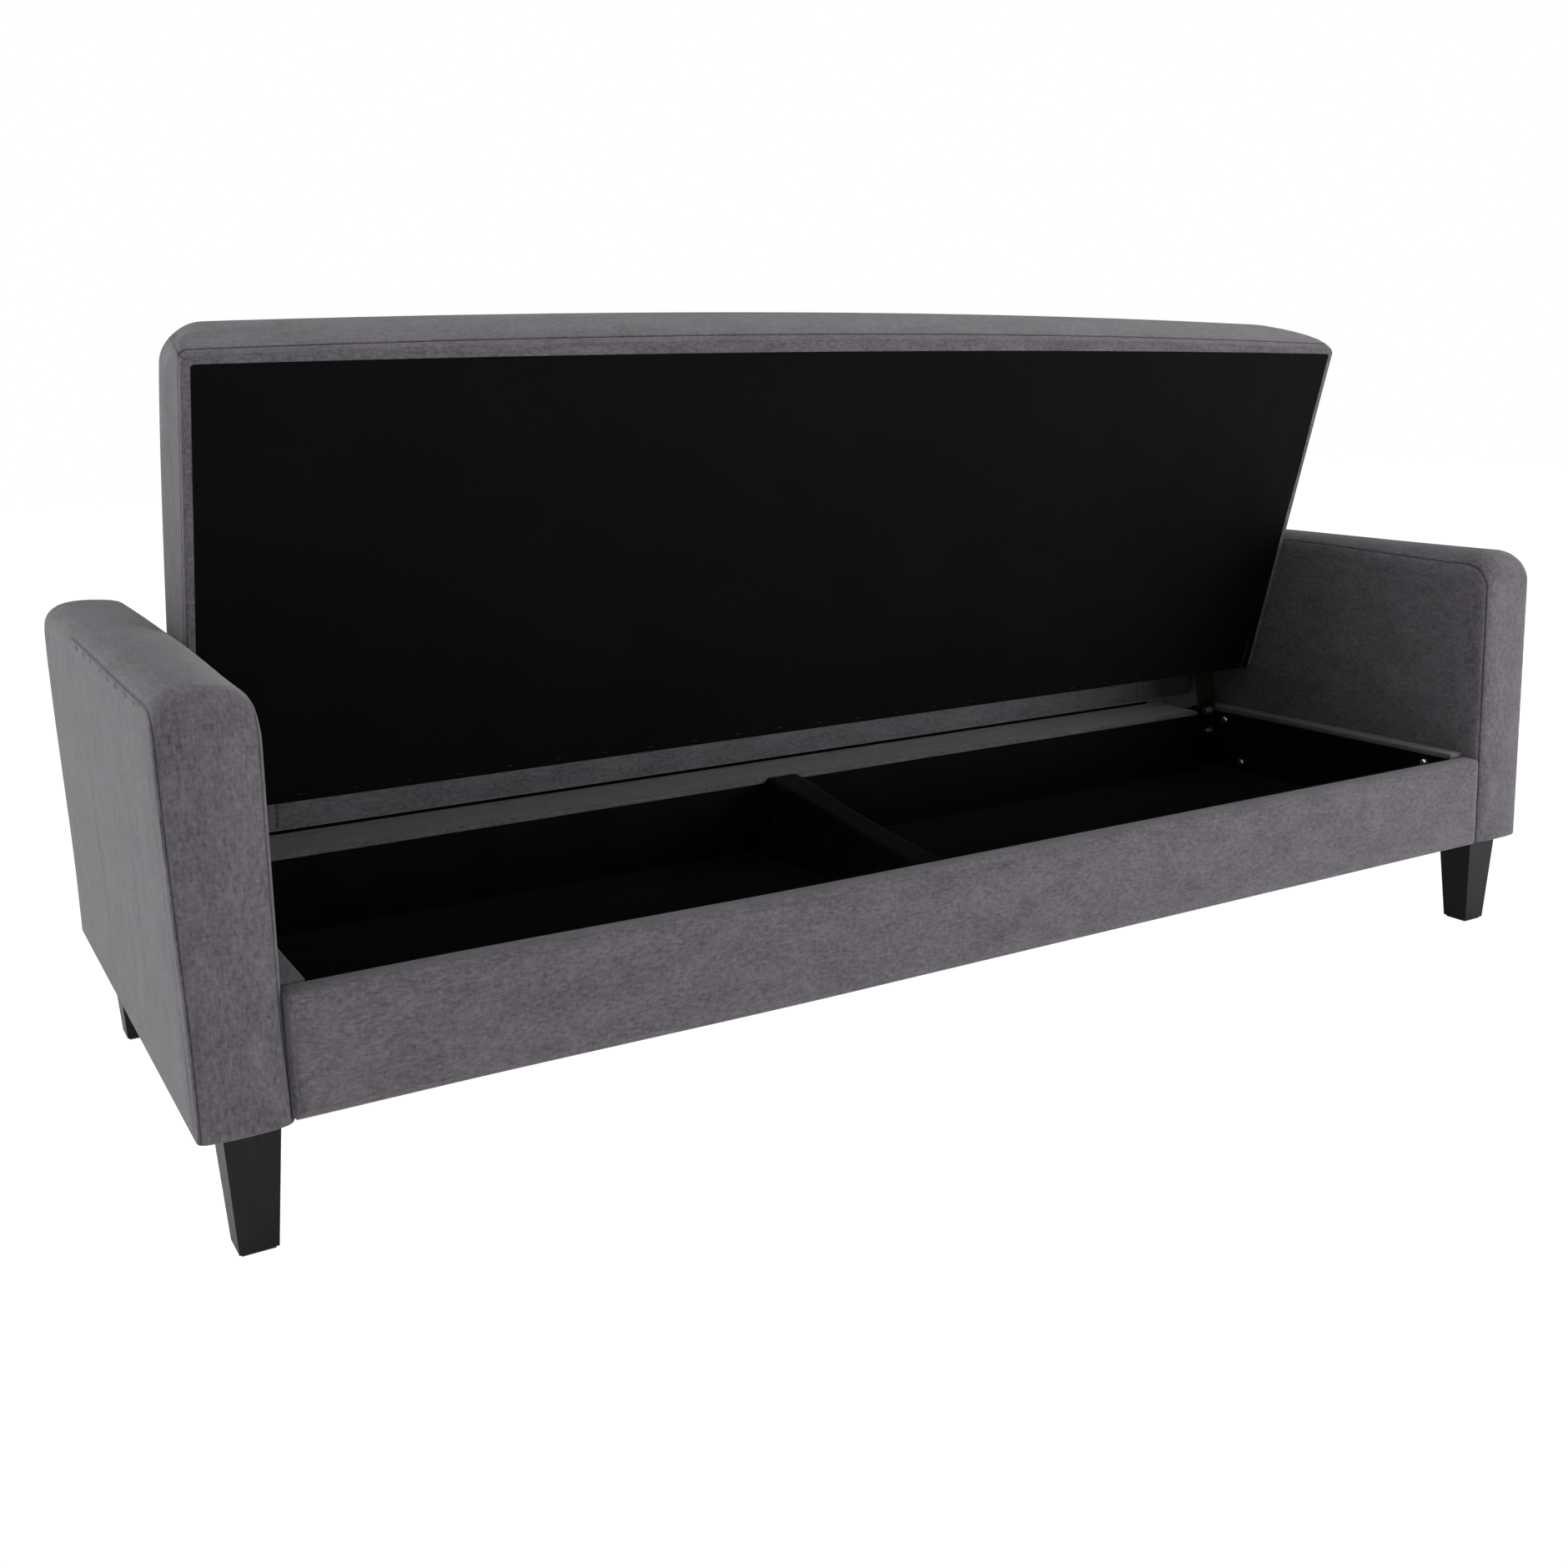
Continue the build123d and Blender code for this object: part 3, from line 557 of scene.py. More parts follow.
def nonwoven_material(name, colour, shine):
    """Spun-bonded cloth with small bond dimples."""
    made = Surface(name, Sheen_Weight=0.015, Sheen_Roughness=0.5, Specular_IOR_Level=shine)
    place = made.place()
    dots = made.node("TexVoronoi", {"Vector": place, "Scale": 420.0, "Randomness": 0.25})
    fuzz = made.noise(place, (260, 260, 260), 2.2)
    broad = made.noise(place, (7, 7, 7), 4.4, 2.0, 0.5)
    tone = made.weighted((fuzz, 0.6), (broad, 0.4))
    made.roughen(fuzz, (0.62, 0.82))
    shade = made.colours(tone, (0.35, 0.65), colour, tuple(1.9 * c for c in colour))
    return made.finished(shade, made.math("ADD", dots, fuzz), 0.0003, 0.5)


def wood_material(name, dark, light, stretch, roughness, gloss):
    """Grain drawn out along one axis, with fine pores."""
    made = Surface(name, Specular_IOR_Level=gloss)
    place = made.place()
    grain = made.noise(place, stretch, 6.2, 4.0)
    pores = made.noise(place, tuple(7 * s for s in stretch), 1.9, 3.0, 0.65)
    tone = made.weighted((grain, 0.7), (pores, 0.3))
    made.roughen(pores, roughness)
    return made.finished(made.colours(tone, (0.35, 0.65), dark, light), pores, 0.0002, 0.35)


def metal_material(name, first, second, roughness):
    """Plated steel with cloudy colour and faint rolling marks."""
    made = Surface(name, Metallic=1.0)
    place = made.place()
    cloud = made.noise(place, (35, 35, 35), 8.8)
    marks = made.noise(place, (900, 140, 140), 3.3, 2.0)
    made.roughen(marks, roughness)
    return made.finished(made.colours(cloud, (0.35, 0.65), first, second), marks, 0.00008, 0.4)


def moulded_material(name, colour, roughness):
    """Moulded plastic or foam with a fine surface grain."""
    made = Surface(name)
    grain = made.noise(made.place(), (700, 700, 700), 7.1)
    lighter = tuple(min(1.0, 1.35 * c) for c in colour)
    made.roughen(grain, roughness)
    return made.finished(made.colours(grain, (0.3, 0.7), colour, lighter), grain, 0.0002, 0.4)


def webbing_material(name, dark, light):
    """Elastic webbing with ribs across and stripes along the strap."""
    made = Surface(name, Roughness=0.85)
    place = made.place()
    ribs = made.waves(place, 160.0, 0.2, "Y")
    stripes = made.waves(place, 26.0, 0.0, "X")
    return made.finished(made.colours(stripes, (0.6, 0.8), dark, light), ribs, 0.0004, 0.6)


FINISHES = {
    name: make(name, *values)
    for name, make, *values in (
        ("grey_fabric", fabric_material, (0.041, 0.0365, 0.0430), (0.114, 0.106, 0.118)),
        ("black_cloth", nonwoven_material, (0.0010, 0.0010, 0.0010), 0.032),
        ("foam", moulded_material, (0.62, 0.52, 0.30), (0.85, 0.95)),
        ("webbing", webbing_material, (0.03, 0.03, 0.032), (0.30, 0.29, 0.28)),
        ("black_wood", wood_material, (0.0021, 0.0020, 0.0022), (0.0050, 0.0048, 0.0052),
         (160, 160, 9), (0.42, 0.56), 0.16),
        ("frame_wood", wood_material, (0.34, 0.20, 0.10), (0.56, 0.38, 0.22),
         (3, 60, 60), (0.55, 0.75), 0.35),
        ("hardboard", wood_material, (0.16, 0.085, 0.04), (0.28, 0.16, 0.085),
         (140, 140, 140), (0.5, 0.7), 0.35),
        ("glide_plastic", moulded_material, (0.02, 0.02, 0.02), (0.4, 0.55)),
        ("washer_plastic", moulded_material, (0.5, 0.5, 0.48), (0.4, 0.5)),
        ("black_steel", metal_material, (0.03, 0.03, 0.032), (0.06, 0.06, 0.062), (0.4, 0.55)),
        # Yellow zinc dimmed far below its plated colour: painted shade for the hinge brackets lying in shadow
        # under the lifted seat
        ("yellow_zinc", metal_material, (0.13, 0.10, 0.045), (0.14, 0.12, 0.075), (0.30, 0.44)),
        ("zinc_steel", metal_material, (0.50, 0.51, 0.53), (0.66, 0.67, 0.68), (0.28, 0.42)),
        ("bright_zinc", metal_material, (0.74, 0.75, 0.77), (0.86, 0.87, 0.88), (0.26, 0.38)),
    )
}

# How far the edges of the hard finishes are eased
BEVELS = {
    "black_wood": 0.0012,
    "frame_wood": 0.001,
    "zinc_steel": 0.0006,
    "yellow_zinc": 0.0006,
    "bright_zinc": 0.0006,
}


def finish_with(piece, slot):
    piece.data.materials.clear()
    piece.data.materials.append(FINISHES[slot])


def dress_cad_nodes():
    """Give every CAD node its procedural finish, and ease the edges of the hard ones."""
    for row in frame["record"]["subparts"]:
        node = nodes[row["node"]]
        slot = row["material_slot"]
        node.data.materials.clear()
        node.data.materials.append(FINISHES[slot])
        if slot in BEVELS:
            bevel = node.modifiers.new("eased_edges", "BEVEL")
            bevel.width = BEVELS[slot]
            bevel.segments = 2
            bevel.limit_method = "ANGLE"
            bevel.angle_limit = math.radians(40)


# Pieces
def settle_arm_top(loop, inner, rear, depth):
    """Lower the arm's top towards its front, most at the inner shoulder, which rises at the rear."""
    forward = (rear - loop[:, 1]) / depth
    upper = ease((loop[:, 2] - ARM_SHOULDER + ARM_SETTLING_HEIGHT) / ARM_SETTLING_HEIGHT)
    shoulder = np.clip(1 - (loop[:, 0] - inner) / ARM_INNER_REACH, 0, 1) ** 2
    drop = ARM_FRONT_DROP * ease((forward - 0.2) / 0.8)
    drop += shoulder * ARM_INNER_FRONT_DROP * ease((forward - 0.55) / 0.45)
    drop -= shoulder * ARM_INNER_REAR_RISE * (1 - ease(forward / 0.5))
    loop[:, 2] -= upper * drop


def arm_form():
    """The right arm as loops in Y and Z, one for each place across its thickness."""
    low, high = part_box("right_arm_cover")
    thickness = high.x - low.x - 2 * ARM_PANEL_INSET
    section = np.array(ARM_SECTION)
    loops = []
    for place, top, front, bottom in section * np.array([1 / section[-1, 0], 0.001, 0.001, 0.001]):
        along = (low.y + ARM_FRONT_ROOM - front, high.y - ARM_FRONT_ROOM + front)
        up = (low.z - bottom, ARM_SHOULDER + top)
        upper_radii = (ARM_REAR_CORNER + 0.4 * top, ARM_FRONT_CORNER + 0.5 * top)
        loop = rounded_loop(along, up, (ARM_LOW_CORNER, ARM_LOW_CORNER, *upper_radii), ARM_COUNTS)
        x = low.x + ARM_PANEL_INSET + place * thickness
        loops.append(np.column_stack([np.full(len(loop), x), loop]))
        settle_arm_top(loops[-1], low.x, high.y, high.y - low.y)
    form = Form(loops, ARM_COUNTS)
    seams = (4, len(section) - 4)
    bottom_side = np.arange(form.loops.shape[1]) < ARM_COUNTS[0]
    reach = form.loops[seams[1]][:, 1] - low.y
    fade = 1 - ease((reach - ARM_SEAM_END) / ARM_SEAM_FADE)
    strength = blurred(np.where(bottom_side, 0.0, ARM_SEAM_STRENGTH * fade), 2)
    return form, seams, strength


def pressed_lines(points, front):
    """Height of the faint ridges where the arm's frame bars show through its cloth."""
    total = np.zeros(len(points))
    for (y0, z0), (y1, z1) in ARM_PRESSED_LINES:
        start, end = np.array([front + y0, z0]), np.array([front + y1, z1])
        along = end - start
        flat = points[:, 1:] - start
        share = np.clip(flat @ along / (along @ along), 0, 1)
        away = np.linalg.norm(flat - share[:, None] * along, axis=1)
        fade = ease(np.minimum(share, 1 - share) / 0.12)
        total = np.maximum(total, PRESSED_HEIGHT * fade * np.exp(-((away / PRESSED_WIDTH) ** 2)))
    return total


def make_arms():
    low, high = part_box("right_arm_cover")
    form, seams, strength = arm_form()
    held = np.zeros(len(form.points()))
    count = form.loops.shape[1]
    for level in seams:
        held[level * count : (level + 1) * count] = 1.0
    held[form.points()[:, 2] < low.z + 0.003] = 1.0
    form, seam = sewn(swollen(form, held, ARM_PRESSURE, ARM_SWELL), seams, strength)
    for name, sign in (("right", 1), ("left", -1)):
        points = form.points()
        points[:, 0] += pressed_lines(points, low.y) * (points[:, 0] > ARM_OUTER_FACE)
        shift, lean = ARM_OUTER_LEANS[name]
        upper = ease((points[:, 2] - low.z) / (0.95 * (high.z - low.z)))
        outer = ease((points[:, 0] - low.x) / (high.x - low.x))
        points[:, 0] += (shift + lean * upper) * outer
        foot = 1 - ease((points[:, 2] - low.z) / ARM_INNER_LEAN_HEIGHT)
        points[:, 0] -= ARM_INNER_LEANS[name] * foot * (1 - outer)
        points[:, 0] *= sign
        piece = upholstered(f"{name}_arm_upholstery", form.moved_to(points), ((1, 2), (2, 1)), seam)
        finish_with(piece, "grey_fabric")
        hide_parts(f"{name}_arm_cover")
        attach(piece, "base")


def cushion_form(free_y, hinge_y, bottom, top, half):
    """A cushion lying flat: its plan is X and Y, and its sides are boxed."""
    counts = CUSHION_COUNTS
    free_first = free_y < hinge_y
    inset = CUSHION_START_INSET
    reach = (free_y + inset, hinge_y - inset) if free_first else (hinge_y + inset, free_y - inset)
    width = (-half + inset, half - inset)

    def loop(end, free, hinge, free_corner, hinge_corner):
        first, last = (free, hinge) if free_first else (hinge, free)
        across = (reach[0] + first, reach[1] - last)
        corners = (free_corner, hinge_corner) if free_first else (hinge_corner, free_corner)
        radii = (corners[0], corners[0], corners[1], corners[1])
        made = rounded_loop((width[0] + end, width[1] - end), across, radii, counts)
        share = (made[:, 1] - hinge_y) / (free_y - hinge_y)
        made[:, 1] -= math.copysign(CUSHION_BOW, free_y - hinge_y) * share * (made[:, 0] / half) ** 2
        return made

    low_edge = CUSHION_LOW_EDGE
    side = loop(0, 0, 0, CUSHION_CORNER, CUSHION_HINGE_CORNER)
    low = loop(low_edge, low_edge, low_edge, CUSHION_CORNER - low_edge, CUSHION_LOW_HINGE_CORNER)
    sharp = loop(0, 0, 0, CUSHION_LOW_CORNER, CUSHION_HINGE_CORNER)
    high = loop(CUSHION_END_INSET, CUSHION_FREE_INSET, CUSHION_HINGE_INSET, *CUSHION_TOP_CORNERS)
    edge = top - CUSHION_CROWN - inset / 2
    low_rise = np.full(len(side), low_edge)
    inset_there = np.linalg.norm(side - high, axis=1)
    high_rise = blurred(np.clip(inset_there, CUSHION_LEAST_RISE, CUSHION_HINGE_INSET), 3)
    toward_free = np.clip(loop_normals(side)[:, 1] * math.copysign(1, free_y - hinge_y), 0, 1)
    bulge = BOXING_BULGE + (BOXING_FREE_BULGE - BOXING_BULGE) * ease(toward_free)
    seam_share = (LOWER_SEAM - low_edge) / (edge - bottom - low_edge - CUSHION_SEAM_ROOM)
    below = np.linspace(0, seam_share, LOWER_SEAM_STEPS + 1)[1:]
    above = np.linspace(seam_share, 1, UPPER_SEAM_STEPS + 1)[1:-1]
    fractions = np.concatenate([below, above])
    loops = stacked_loops(low, side, high, bottom, edge, low_rise, high_rise, bulge, fractions)
    seam_height = bottom + LOWER_SEAM
    for level, share in zip(loops[EDGE_LEVELS:], fractions):
        if share <= seam_share:
            level[:, 2] = bottom + low_edge + (seam_height - bottom - low_edge) * share / seam_share
        else:
            rest = (share - seam_share) / (1 - seam_share)
            level[:, 2] = seam_height + (edge - high_rise - seam_height) * rest
    for level in loops:
        near_bottom = 1 - ease((level[:, 2] - bottom - CUSHION_SHARP_HEIGHT) / CUSHION_SHARP_FADE)
        level[:, :2] += (sharp - side) * near_bottom[:, None]
        share = (level[:, 1] - hinge_y) / (free_y - hinge_y)
        level[:, 0] *= 1 - CUSHION_TAPER * (1 - near_bottom) * share**2
    form = Form(loops, counts)
    along = np.linspace(-1, 1, counts[0] + 1)[None]
    across = np.linspace(-1, 1, counts[1] + 1)[:, None]
    form.high[:, :, 2] += CUSHION_CROWN * (1 - along**4) * (1 - across**2) ** 0.8
    form = form.moved_to(form.points())
    return form, (EDGE_LEVELS + LOWER_SEAM_STEPS - 1, EDGE_LEVELS + len(fractions))


def cut_slots(piece, y_range, bottom):
    """Cut upright slots through a cushion for the hinges at its ends."""
    for sign in (-1, 1):
        x_low, x_high = sorted((sign * SLOT_INNER, sign * SLOT_OUTER))
        low, high = (x_low, y_range[0], bottom), (x_high, y_range[1], CUSHION_TOP + SLOT_ABOVE)
        cutter = mesh_object("cutter", *box_points(low, high))
        face_outwards(cutter)
        cutter.matrix_world = piece.matrix_world
        bpy.context.view_layer.update()
        cut = piece.modifiers.new("slot", "BOOLEAN")
        cut.operation = "DIFFERENCE"
        cut.solver = "EXACT"
        cut.object = cutter
        solved = piece.evaluated_get(bpy.context.evaluated_depsgraph_get())
        mesh = bpy.data.meshes.new_from_object(solved)
        piece.modifiers.remove(cut)
        piece.data = mesh
        bpy.data.objects.remove(cutter)
    smooth(piece)


def box_points(low, high):
    corners = [(x, y, z) for x in (low[0], high[0]) for y in (low[1], high[1]) for z in (low[2], high[2])]
    faces = [(0, 1, 3, 2), (4, 6, 7, 5), (0, 4, 5, 1), (2, 3, 7, 6), (0, 2, 6, 4), (1, 5, 7, 3)]
    return corners, faces


def seat_lift_matrix():
    joint = next(j for j in frame["joints"] if j["name"] == "seat_lift")
    pivot = Vector(joint["pos_m"])
    angle = math.radians(-joint["range_deg"][1])
    return Matrix.Translation(pivot) @ Matrix.Rotation(angle, 4, "X") @ Matrix.Translation(-pivot)


SEAT_FREE_Y = -0.5705
SEAT_HINGE_Y = 0.0525
SEAT_BOTTOM = 0.295
BACK_HINGE_Y = 0.0925
BACK_FREE_Y = 0.5425
BACK_BOTTOM = 0.296
CUSHION_TOP = 0.472
CUSHION_HALF = 0.9480
SLOT_INNER = 0.9055
SLOT_OUTER = 0.9280
SEAT_SLOT_DEPTH = 0.060
BACK_SLOT_DEPTH = 0.062
BACK_SLOT_LOW = 0.393
SLOT_ABOVE = 0.06
SLOT_SPARE = 0.05
BACK_JOIN_X = 0.81
HINGE_SEAM_STRENGTH = 0.1
FREE_SEAM_STRENGTH = 0.8


def make_cushion(body, free_y, hinge_y, bottom, slot_y, slot_bottom, joins=(), matrix=None):
    """One cushion with a seam round its lower edge, up its free corners and up its hinge side at joins."""
    form, seams = cushion_form(free_y, hinge_y, bottom, CUSHION_TOP, CUSHION_HALF)
    points = form.points()
    held = np.zeros(len(points))
    count = form.loops.shape[1]
    for level, weight in zip(seams, CUSHION_PINS):
        held[level * count : (level + 1) * count] = weight
    held[points[:, 2] < bottom + CUSHION_LOW_EDGE] = 1.0
    points = swollen(form, held, CUSHION_PRESSURE, CUSHION_SWELL).points()
    points[:, 0] = np.clip(points[:, 0], -CUSHION_REACH, CUSHION_REACH)
    form = form.moved_to(points)
    along, across = form.counts
    edge = form.loops[seams[0]]
    columns = [int(np.argmin(np.abs(edge[: along + 1, 0] - x))) for x in joins]
    columns += (0, along) if free_y < hinge_y else (along + across, 2 * along + across)
    hinge_side = (edge[:, 1] - hinge_y) * math.copysign(1, free_y - hinge_y) < CUSHION_HINGE_SIDE
    strength = np.where(hinge_side, HINGE_SEAM_STRENGTH, FREE_SEAM_STRENGTH)
    form, seam = sewn(form, seams[:1], strength, columns)
    piece = upholstered(f"{body}_cushion", form, (0, 1), seam)
    if matrix is not None:
        piece.matrix_world = matrix
    cut_slots(piece, slot_y, slot_bottom)
    finish_with(piece, "grey_fabric")
    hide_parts(f"{body}_cover", f"{body}_foam")
    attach(piece, body)


def make_cushions():
    seat_slot_y = (SEAT_HINGE_Y - SEAT_SLOT_DEPTH, SEAT_HINGE_Y + SLOT_SPARE)
    make_cushion(
        "seat", SEAT_FREE_Y, SEAT_HINGE_Y, SEAT_BOTTOM, seat_slot_y, SEAT_BOTTOM - SLOT_SPARE,
        matrix=seat_lift_matrix(),
    )
    back_slot_y = (BACK_HINGE_Y - SLOT_SPARE, BACK_HINGE_Y + BACK_SLOT_DEPTH)
    make_cushion(
        "back", BACK_FREE_Y, BACK_HINGE_Y, BACK_BOTTOM, back_slot_y, BACK_SLOT_LOW,
        joins=(-BACK_JOIN_X, BACK_JOIN_X),
    )


def make_wrapped_board(
    name, node, plan_axes, thick_axis, edges, corner, puff, counts, axes,
    grow=0.0, behind=(0.0, 0.0), drop=0.0, dip=None,
):
    """A board wrapped in padded cloth, with its own edge radius at the low and high side."""
    low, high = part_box(node)
    a, b = plan_axes
    low_edge, high_edge = edges
    a_range = (low[a] - grow, high[a] + grow)
    b_range = (low[b] - behind[0], high[b] + behind[1])
    side = rounded_loop(a_range, b_range, (corner,) * 4, counts)

    def inner(edge):
        radii = (max(corner - edge, BOARD_LEAST_CORNER),) * 4
        a_inner = (a_range[0] + edge, a_range[1] - edge)
        return rounded_loop(a_inner, (b_range[0] + edge, b_range[1] - edge), radii, counts)

    heights = (low[thick_axis] - drop, high[thick_axis])
    rises_and_crown = (np.full(len(side), value) for value in (low_edge, high_edge, BOARD_CROWN))
    fractions = np.linspace(0, 1, 5)[1:-1]
    loops = stacked_loops(
        inner(low_edge), side, inner(high_edge), *heights, *rises_and_crown, fractions
    )
    form = Form(loops, counts)
    along = np.linspace(-1, 1, counts[0] + 1)[None]
    across = np.linspace(-1, 1, counts[1] + 1)[:, None]
    dome = (1 - along**8) * (1 - across**2)
    form.low[:, :, 2] -= puff[0] * dome
    form.high[:, :, 2] += puff[1] * dome
    points = form.points()
    ordered = np.zeros_like(points)
    ordered[:, a], ordered[:, b], ordered[:, thick_axis] = points[:, 0], points[:, 1], points[:, 2]
    if dip is not None:
        ordered[:, 2] += dip(ordered[:, 0])
    piece = upholstered(name, form.moved_to(ordered), axes)
    finish_with(piece, "grey_fabric")
    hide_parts(node)
    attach(piece, "base")
    return piece


def raise_rear_edge(piece, top):
    """Lift the rear edge of the beam's cover into a soft roll."""
    for vertex in piece.data.vertices:
        rear = ease((vertex.co.y - BEAM_ROLL_START) / BEAM_ROLL_WIDTH)
        upper = ease((vertex.co.z - top + BEAM_ROLL_DEPTH) / BEAM_ROLL_DEPTH)
        vertex.co.z += BEAM_ROLL_HEIGHT * float(rear * upper)


RAIL_GROW = 0.004
RAIL_SAG = 0.003
RAIL_LEFT_RISE = 0.005
BEAM_REAR_ROLL = 0.012
BEAM_ROLL_START = 0.070
BEAM_ROLL_HEIGHT = 0.0035
BEAM_ROLL_WIDTH = 0.012
BEAM_ROLL_DEPTH = 0.010
BOARD_CROWN = 0.0004
BOARD_LEAST_CORNER = 0.0008
TRIM_GROW = 0.0008
TRIM_FRONT = 0.002
TRIM_DROP = 0.006


def rail_dip(x):
    """The front rail hangs a little low from its middle to its right end."""
    return RAIL_LEFT_RISE * ease((-0.25 - x) / 0.6) - RAIL_SAG


def make_wrapped_boards():
    rail = make_wrapped_board(
        "front_rail_upholstery", "front_rail_cover", (0, 2), 1, (0.008, 0.009), 0.006, (0.0012, 0.0),
        (200, 22), (0, 2), grow=RAIL_GROW, dip=rail_dip,
    )
    beam = make_wrapped_board(
        "rear_beam_upholstery", "rear_beam_cover", (0, 1), 2, (0.001, 0.004), 0.003, (0.0, 0.0006),
        (200, 20), (0, 1), behind=(0.0, BEAM_REAR_ROLL),
    )
    raise_rear_edge(beam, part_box("rear_beam_cover")[1].z)
    stretcher = make_wrapped_board(
        "rear_stretcher_upholstery", "rear_stretcher", (0, 2), 1, (0.004, 0.004), 0.005, (0.0, 0.0008),
        (200, 22), (0, 2),
    )
    finish_with(stretcher, "black_cloth")
    for name in ("left", "right"):
        cap = make_wrapped_board(
            f"{name}_side_trim", f"{name}_side_cap", (0, 1), 2, (0.0004, 0.0015), 0.002, (0.0, 0.0006),
            (14, 70), (1, 0), grow=TRIM_GROW, behind=(TRIM_FRONT, 0.0), drop=TRIM_DROP,
        )


def sheet_piece(name, points, columns, keep=None):
    """An open cloth made of a grid of points with that many columns, without the faces not kept."""
    faces = grid_faces(np.arange(len(points)).reshape(-1, columns))
    if keep is not None:
        used, faces = np.unique(faces[keep.ravel()], return_inverse=True)
        points, faces = points[used], faces.reshape(-1, 4)
    piece = mesh_object(name, points, faces)
    add_cloth_maps(piece, points[faces][:, :, :2])
    smooth(piece)
    return piece


SHEET_HALF = 0.935
SHEET_CORNER = 0.004
SHEET_BOW = 0.010
SHEET_PULL = 0.0007
SHEET_CREASE = 0.0006
SHEET_ROWS = 92
SHEET_FINE_ROWS = (0.003, 0.008, 0.015)
SLIT_INNER = 0.9165
SLIT_OUTER = 0.9250
SLIT_COLUMNS = 186
SEAT_SHEET_FREE_Y = -0.5505
SEAT_SHEET_HINGE_Y = 0.0470
SEAT_SHEET_Z = 0.2945
SEAT_SHEET_SAG = 0.004
SEAT_WRAP = 0.0050
WRAP_ANGLE = 80
BACK_SHEET_FREE_Y = 0.5275
BACK_SHEET_HINGE_Y = 0.1025
BACK_SHEET_Z = 0.2955
BACK_SHEET_SAG = 0.001
STAPLE_SPAN = 0.009
STAPLE_WIRE = 0.0004
STAPLE_LEG = 0.0010
STAPLE_SIDES = 6
STAPLE_COUNT = 25
STAPLE_REACH = 0.88
STAPLE_INSET = 0.006
STAPLE_WANDER = 0.0012
STAPLE_Z = 0.2943


def make_underside_sheet(
    name, node, free_y, hinge_y, z, sag, matrix, body, slot, slit_end=None, wrap=0.0
):
    """Cloth pulled over a cushion's open underside, a little slack between its frame's rails.

    Two narrow slits let the hinges through, from slit_end to the hinge edge, round which the cloth
    wraps by that radius.
    """
    inner_columns = np.linspace(-SLIT_INNER, SLIT_INNER, SLIT_COLUMNS)
    x = np.concatenate([[-SHEET_HALF, -SLIT_OUTER], inner_columns, [SLIT_OUTER, SHEET_HALF]])
    away = math.copysign(1, hinge_y - free_y)
    free_edge = free_y + away * SHEET_BOW * (x / SHEET_HALF) ** 2
    shares = [np.linspace(0, 1, SHEET_ROWS), SHEET_FINE_ROWS]
    if slit_end is not None:
        slit_share = (slit_end - free_edge[1]) / (hinge_y - free_edge[1])
        shares.append([slit_share])
    v = np.unique(np.concatenate(shares))[:, None]
    gy = free_edge + (hinge_y - free_edge) * v
    into_corner = np.clip(SHEET_CORNER - np.abs(gy - free_edge), 0, SHEET_CORNER)
    half = SHEET_HALF - SHEET_CORNER + np.sqrt(SHEET_CORNER**2 - into_corner**2)
    gx = x * half / SHEET_HALF
    u = (x / SHEET_HALF + 1) / 2
    bay = np.abs(np.sin(4 * np.pi * u)) ** 0.8
    inner = ease(np.minimum(v, 1 - v) / 0.22) * ease(np.minimum(u, 1 - u) / 0.05)
    slack = sag * inner * (0.35 + 0.65 * bay)
    pull = SHEET_PULL * ripple(gx + 0.35 * gy, 9) * ease(np.minimum(v, 1 - v) / 0.10) * (1 - 0.6 * inner)
    crease = SHEET_CREASE * ripple(0.6 * gx - gy, 5) * inner
    grid = np.stack([gx, gy, z - slack - pull - crease], -1)
    keep = np.ones((len(v) - 1, len(x) - 1), bool)
    if slit_end is not None:
        in_slit = v[:-1, 0] >= slit_share - 1e-6
        keep[in_slit, 1] = False
        keep[in_slit, -2] = False
    if wrap:
        turns = np.radians(np.linspace(0, WRAP_ANGLE, 7)[1:])[:, None]
        rolled = np.stack([
            np.tile(gx[-1], (len(turns), 1)),
            np.tile(hinge_y + away * wrap * np.sin(turns), (1, len(x))),
            np.tile(z + wrap * (1 - np.cos(turns)), (1, len(x))),
        ], -1)
        grid = np.concatenate([grid, rolled])
        keep = np.concatenate([keep, np.tile(keep[-1], (len(turns), 1))])
    piece = sheet_piece(name, grid.reshape(-1, 3), len(x), keep)
    if matrix is not None:
        piece.matrix_world = matrix
    finish_with(piece, slot)
    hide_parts(node)
    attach(piece, body)


def make_staples(name, places, matrix, body):
    """Wire staples along X through the edge of a cloth, one at each place."""
    half = STAPLE_SPAN / 2
    path = ((-half, STAPLE_LEG), (-half, -STAPLE_WIRE), (half, -STAPLE_WIRE), (half, STAPLE_LEG))
    points, faces = [], []
    for x, y, z in places:
        base = len(points)
        for step, (along, height) in enumerate(path):
            for k in range(STAPLE_SIDES):
                angle = 2 * math.pi * k / STAPLE_SIDES
                aside, lift = STAPLE_WIRE * math.cos(angle), STAPLE_WIRE * math.sin(angle)
                run = along - lift if step == 2 else along + lift
                points.append((x + run, y + aside, z + height + (lift if step in (1, 2) else 0)))
        for ring in range(base, base + 3 * STAPLE_SIDES, STAPLE_SIDES):
            for k in range(STAPLE_SIDES):
                a, b = ring + k, ring + (k + 1) % STAPLE_SIDES
                faces.append((a, b, b + STAPLE_SIDES, a + STAPLE_SIDES))
    piece = mesh_object(name, points, faces)
    smooth(piece)
    piece.matrix_world = matrix
    finish_with(piece, "black_steel")
    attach(piece, body)


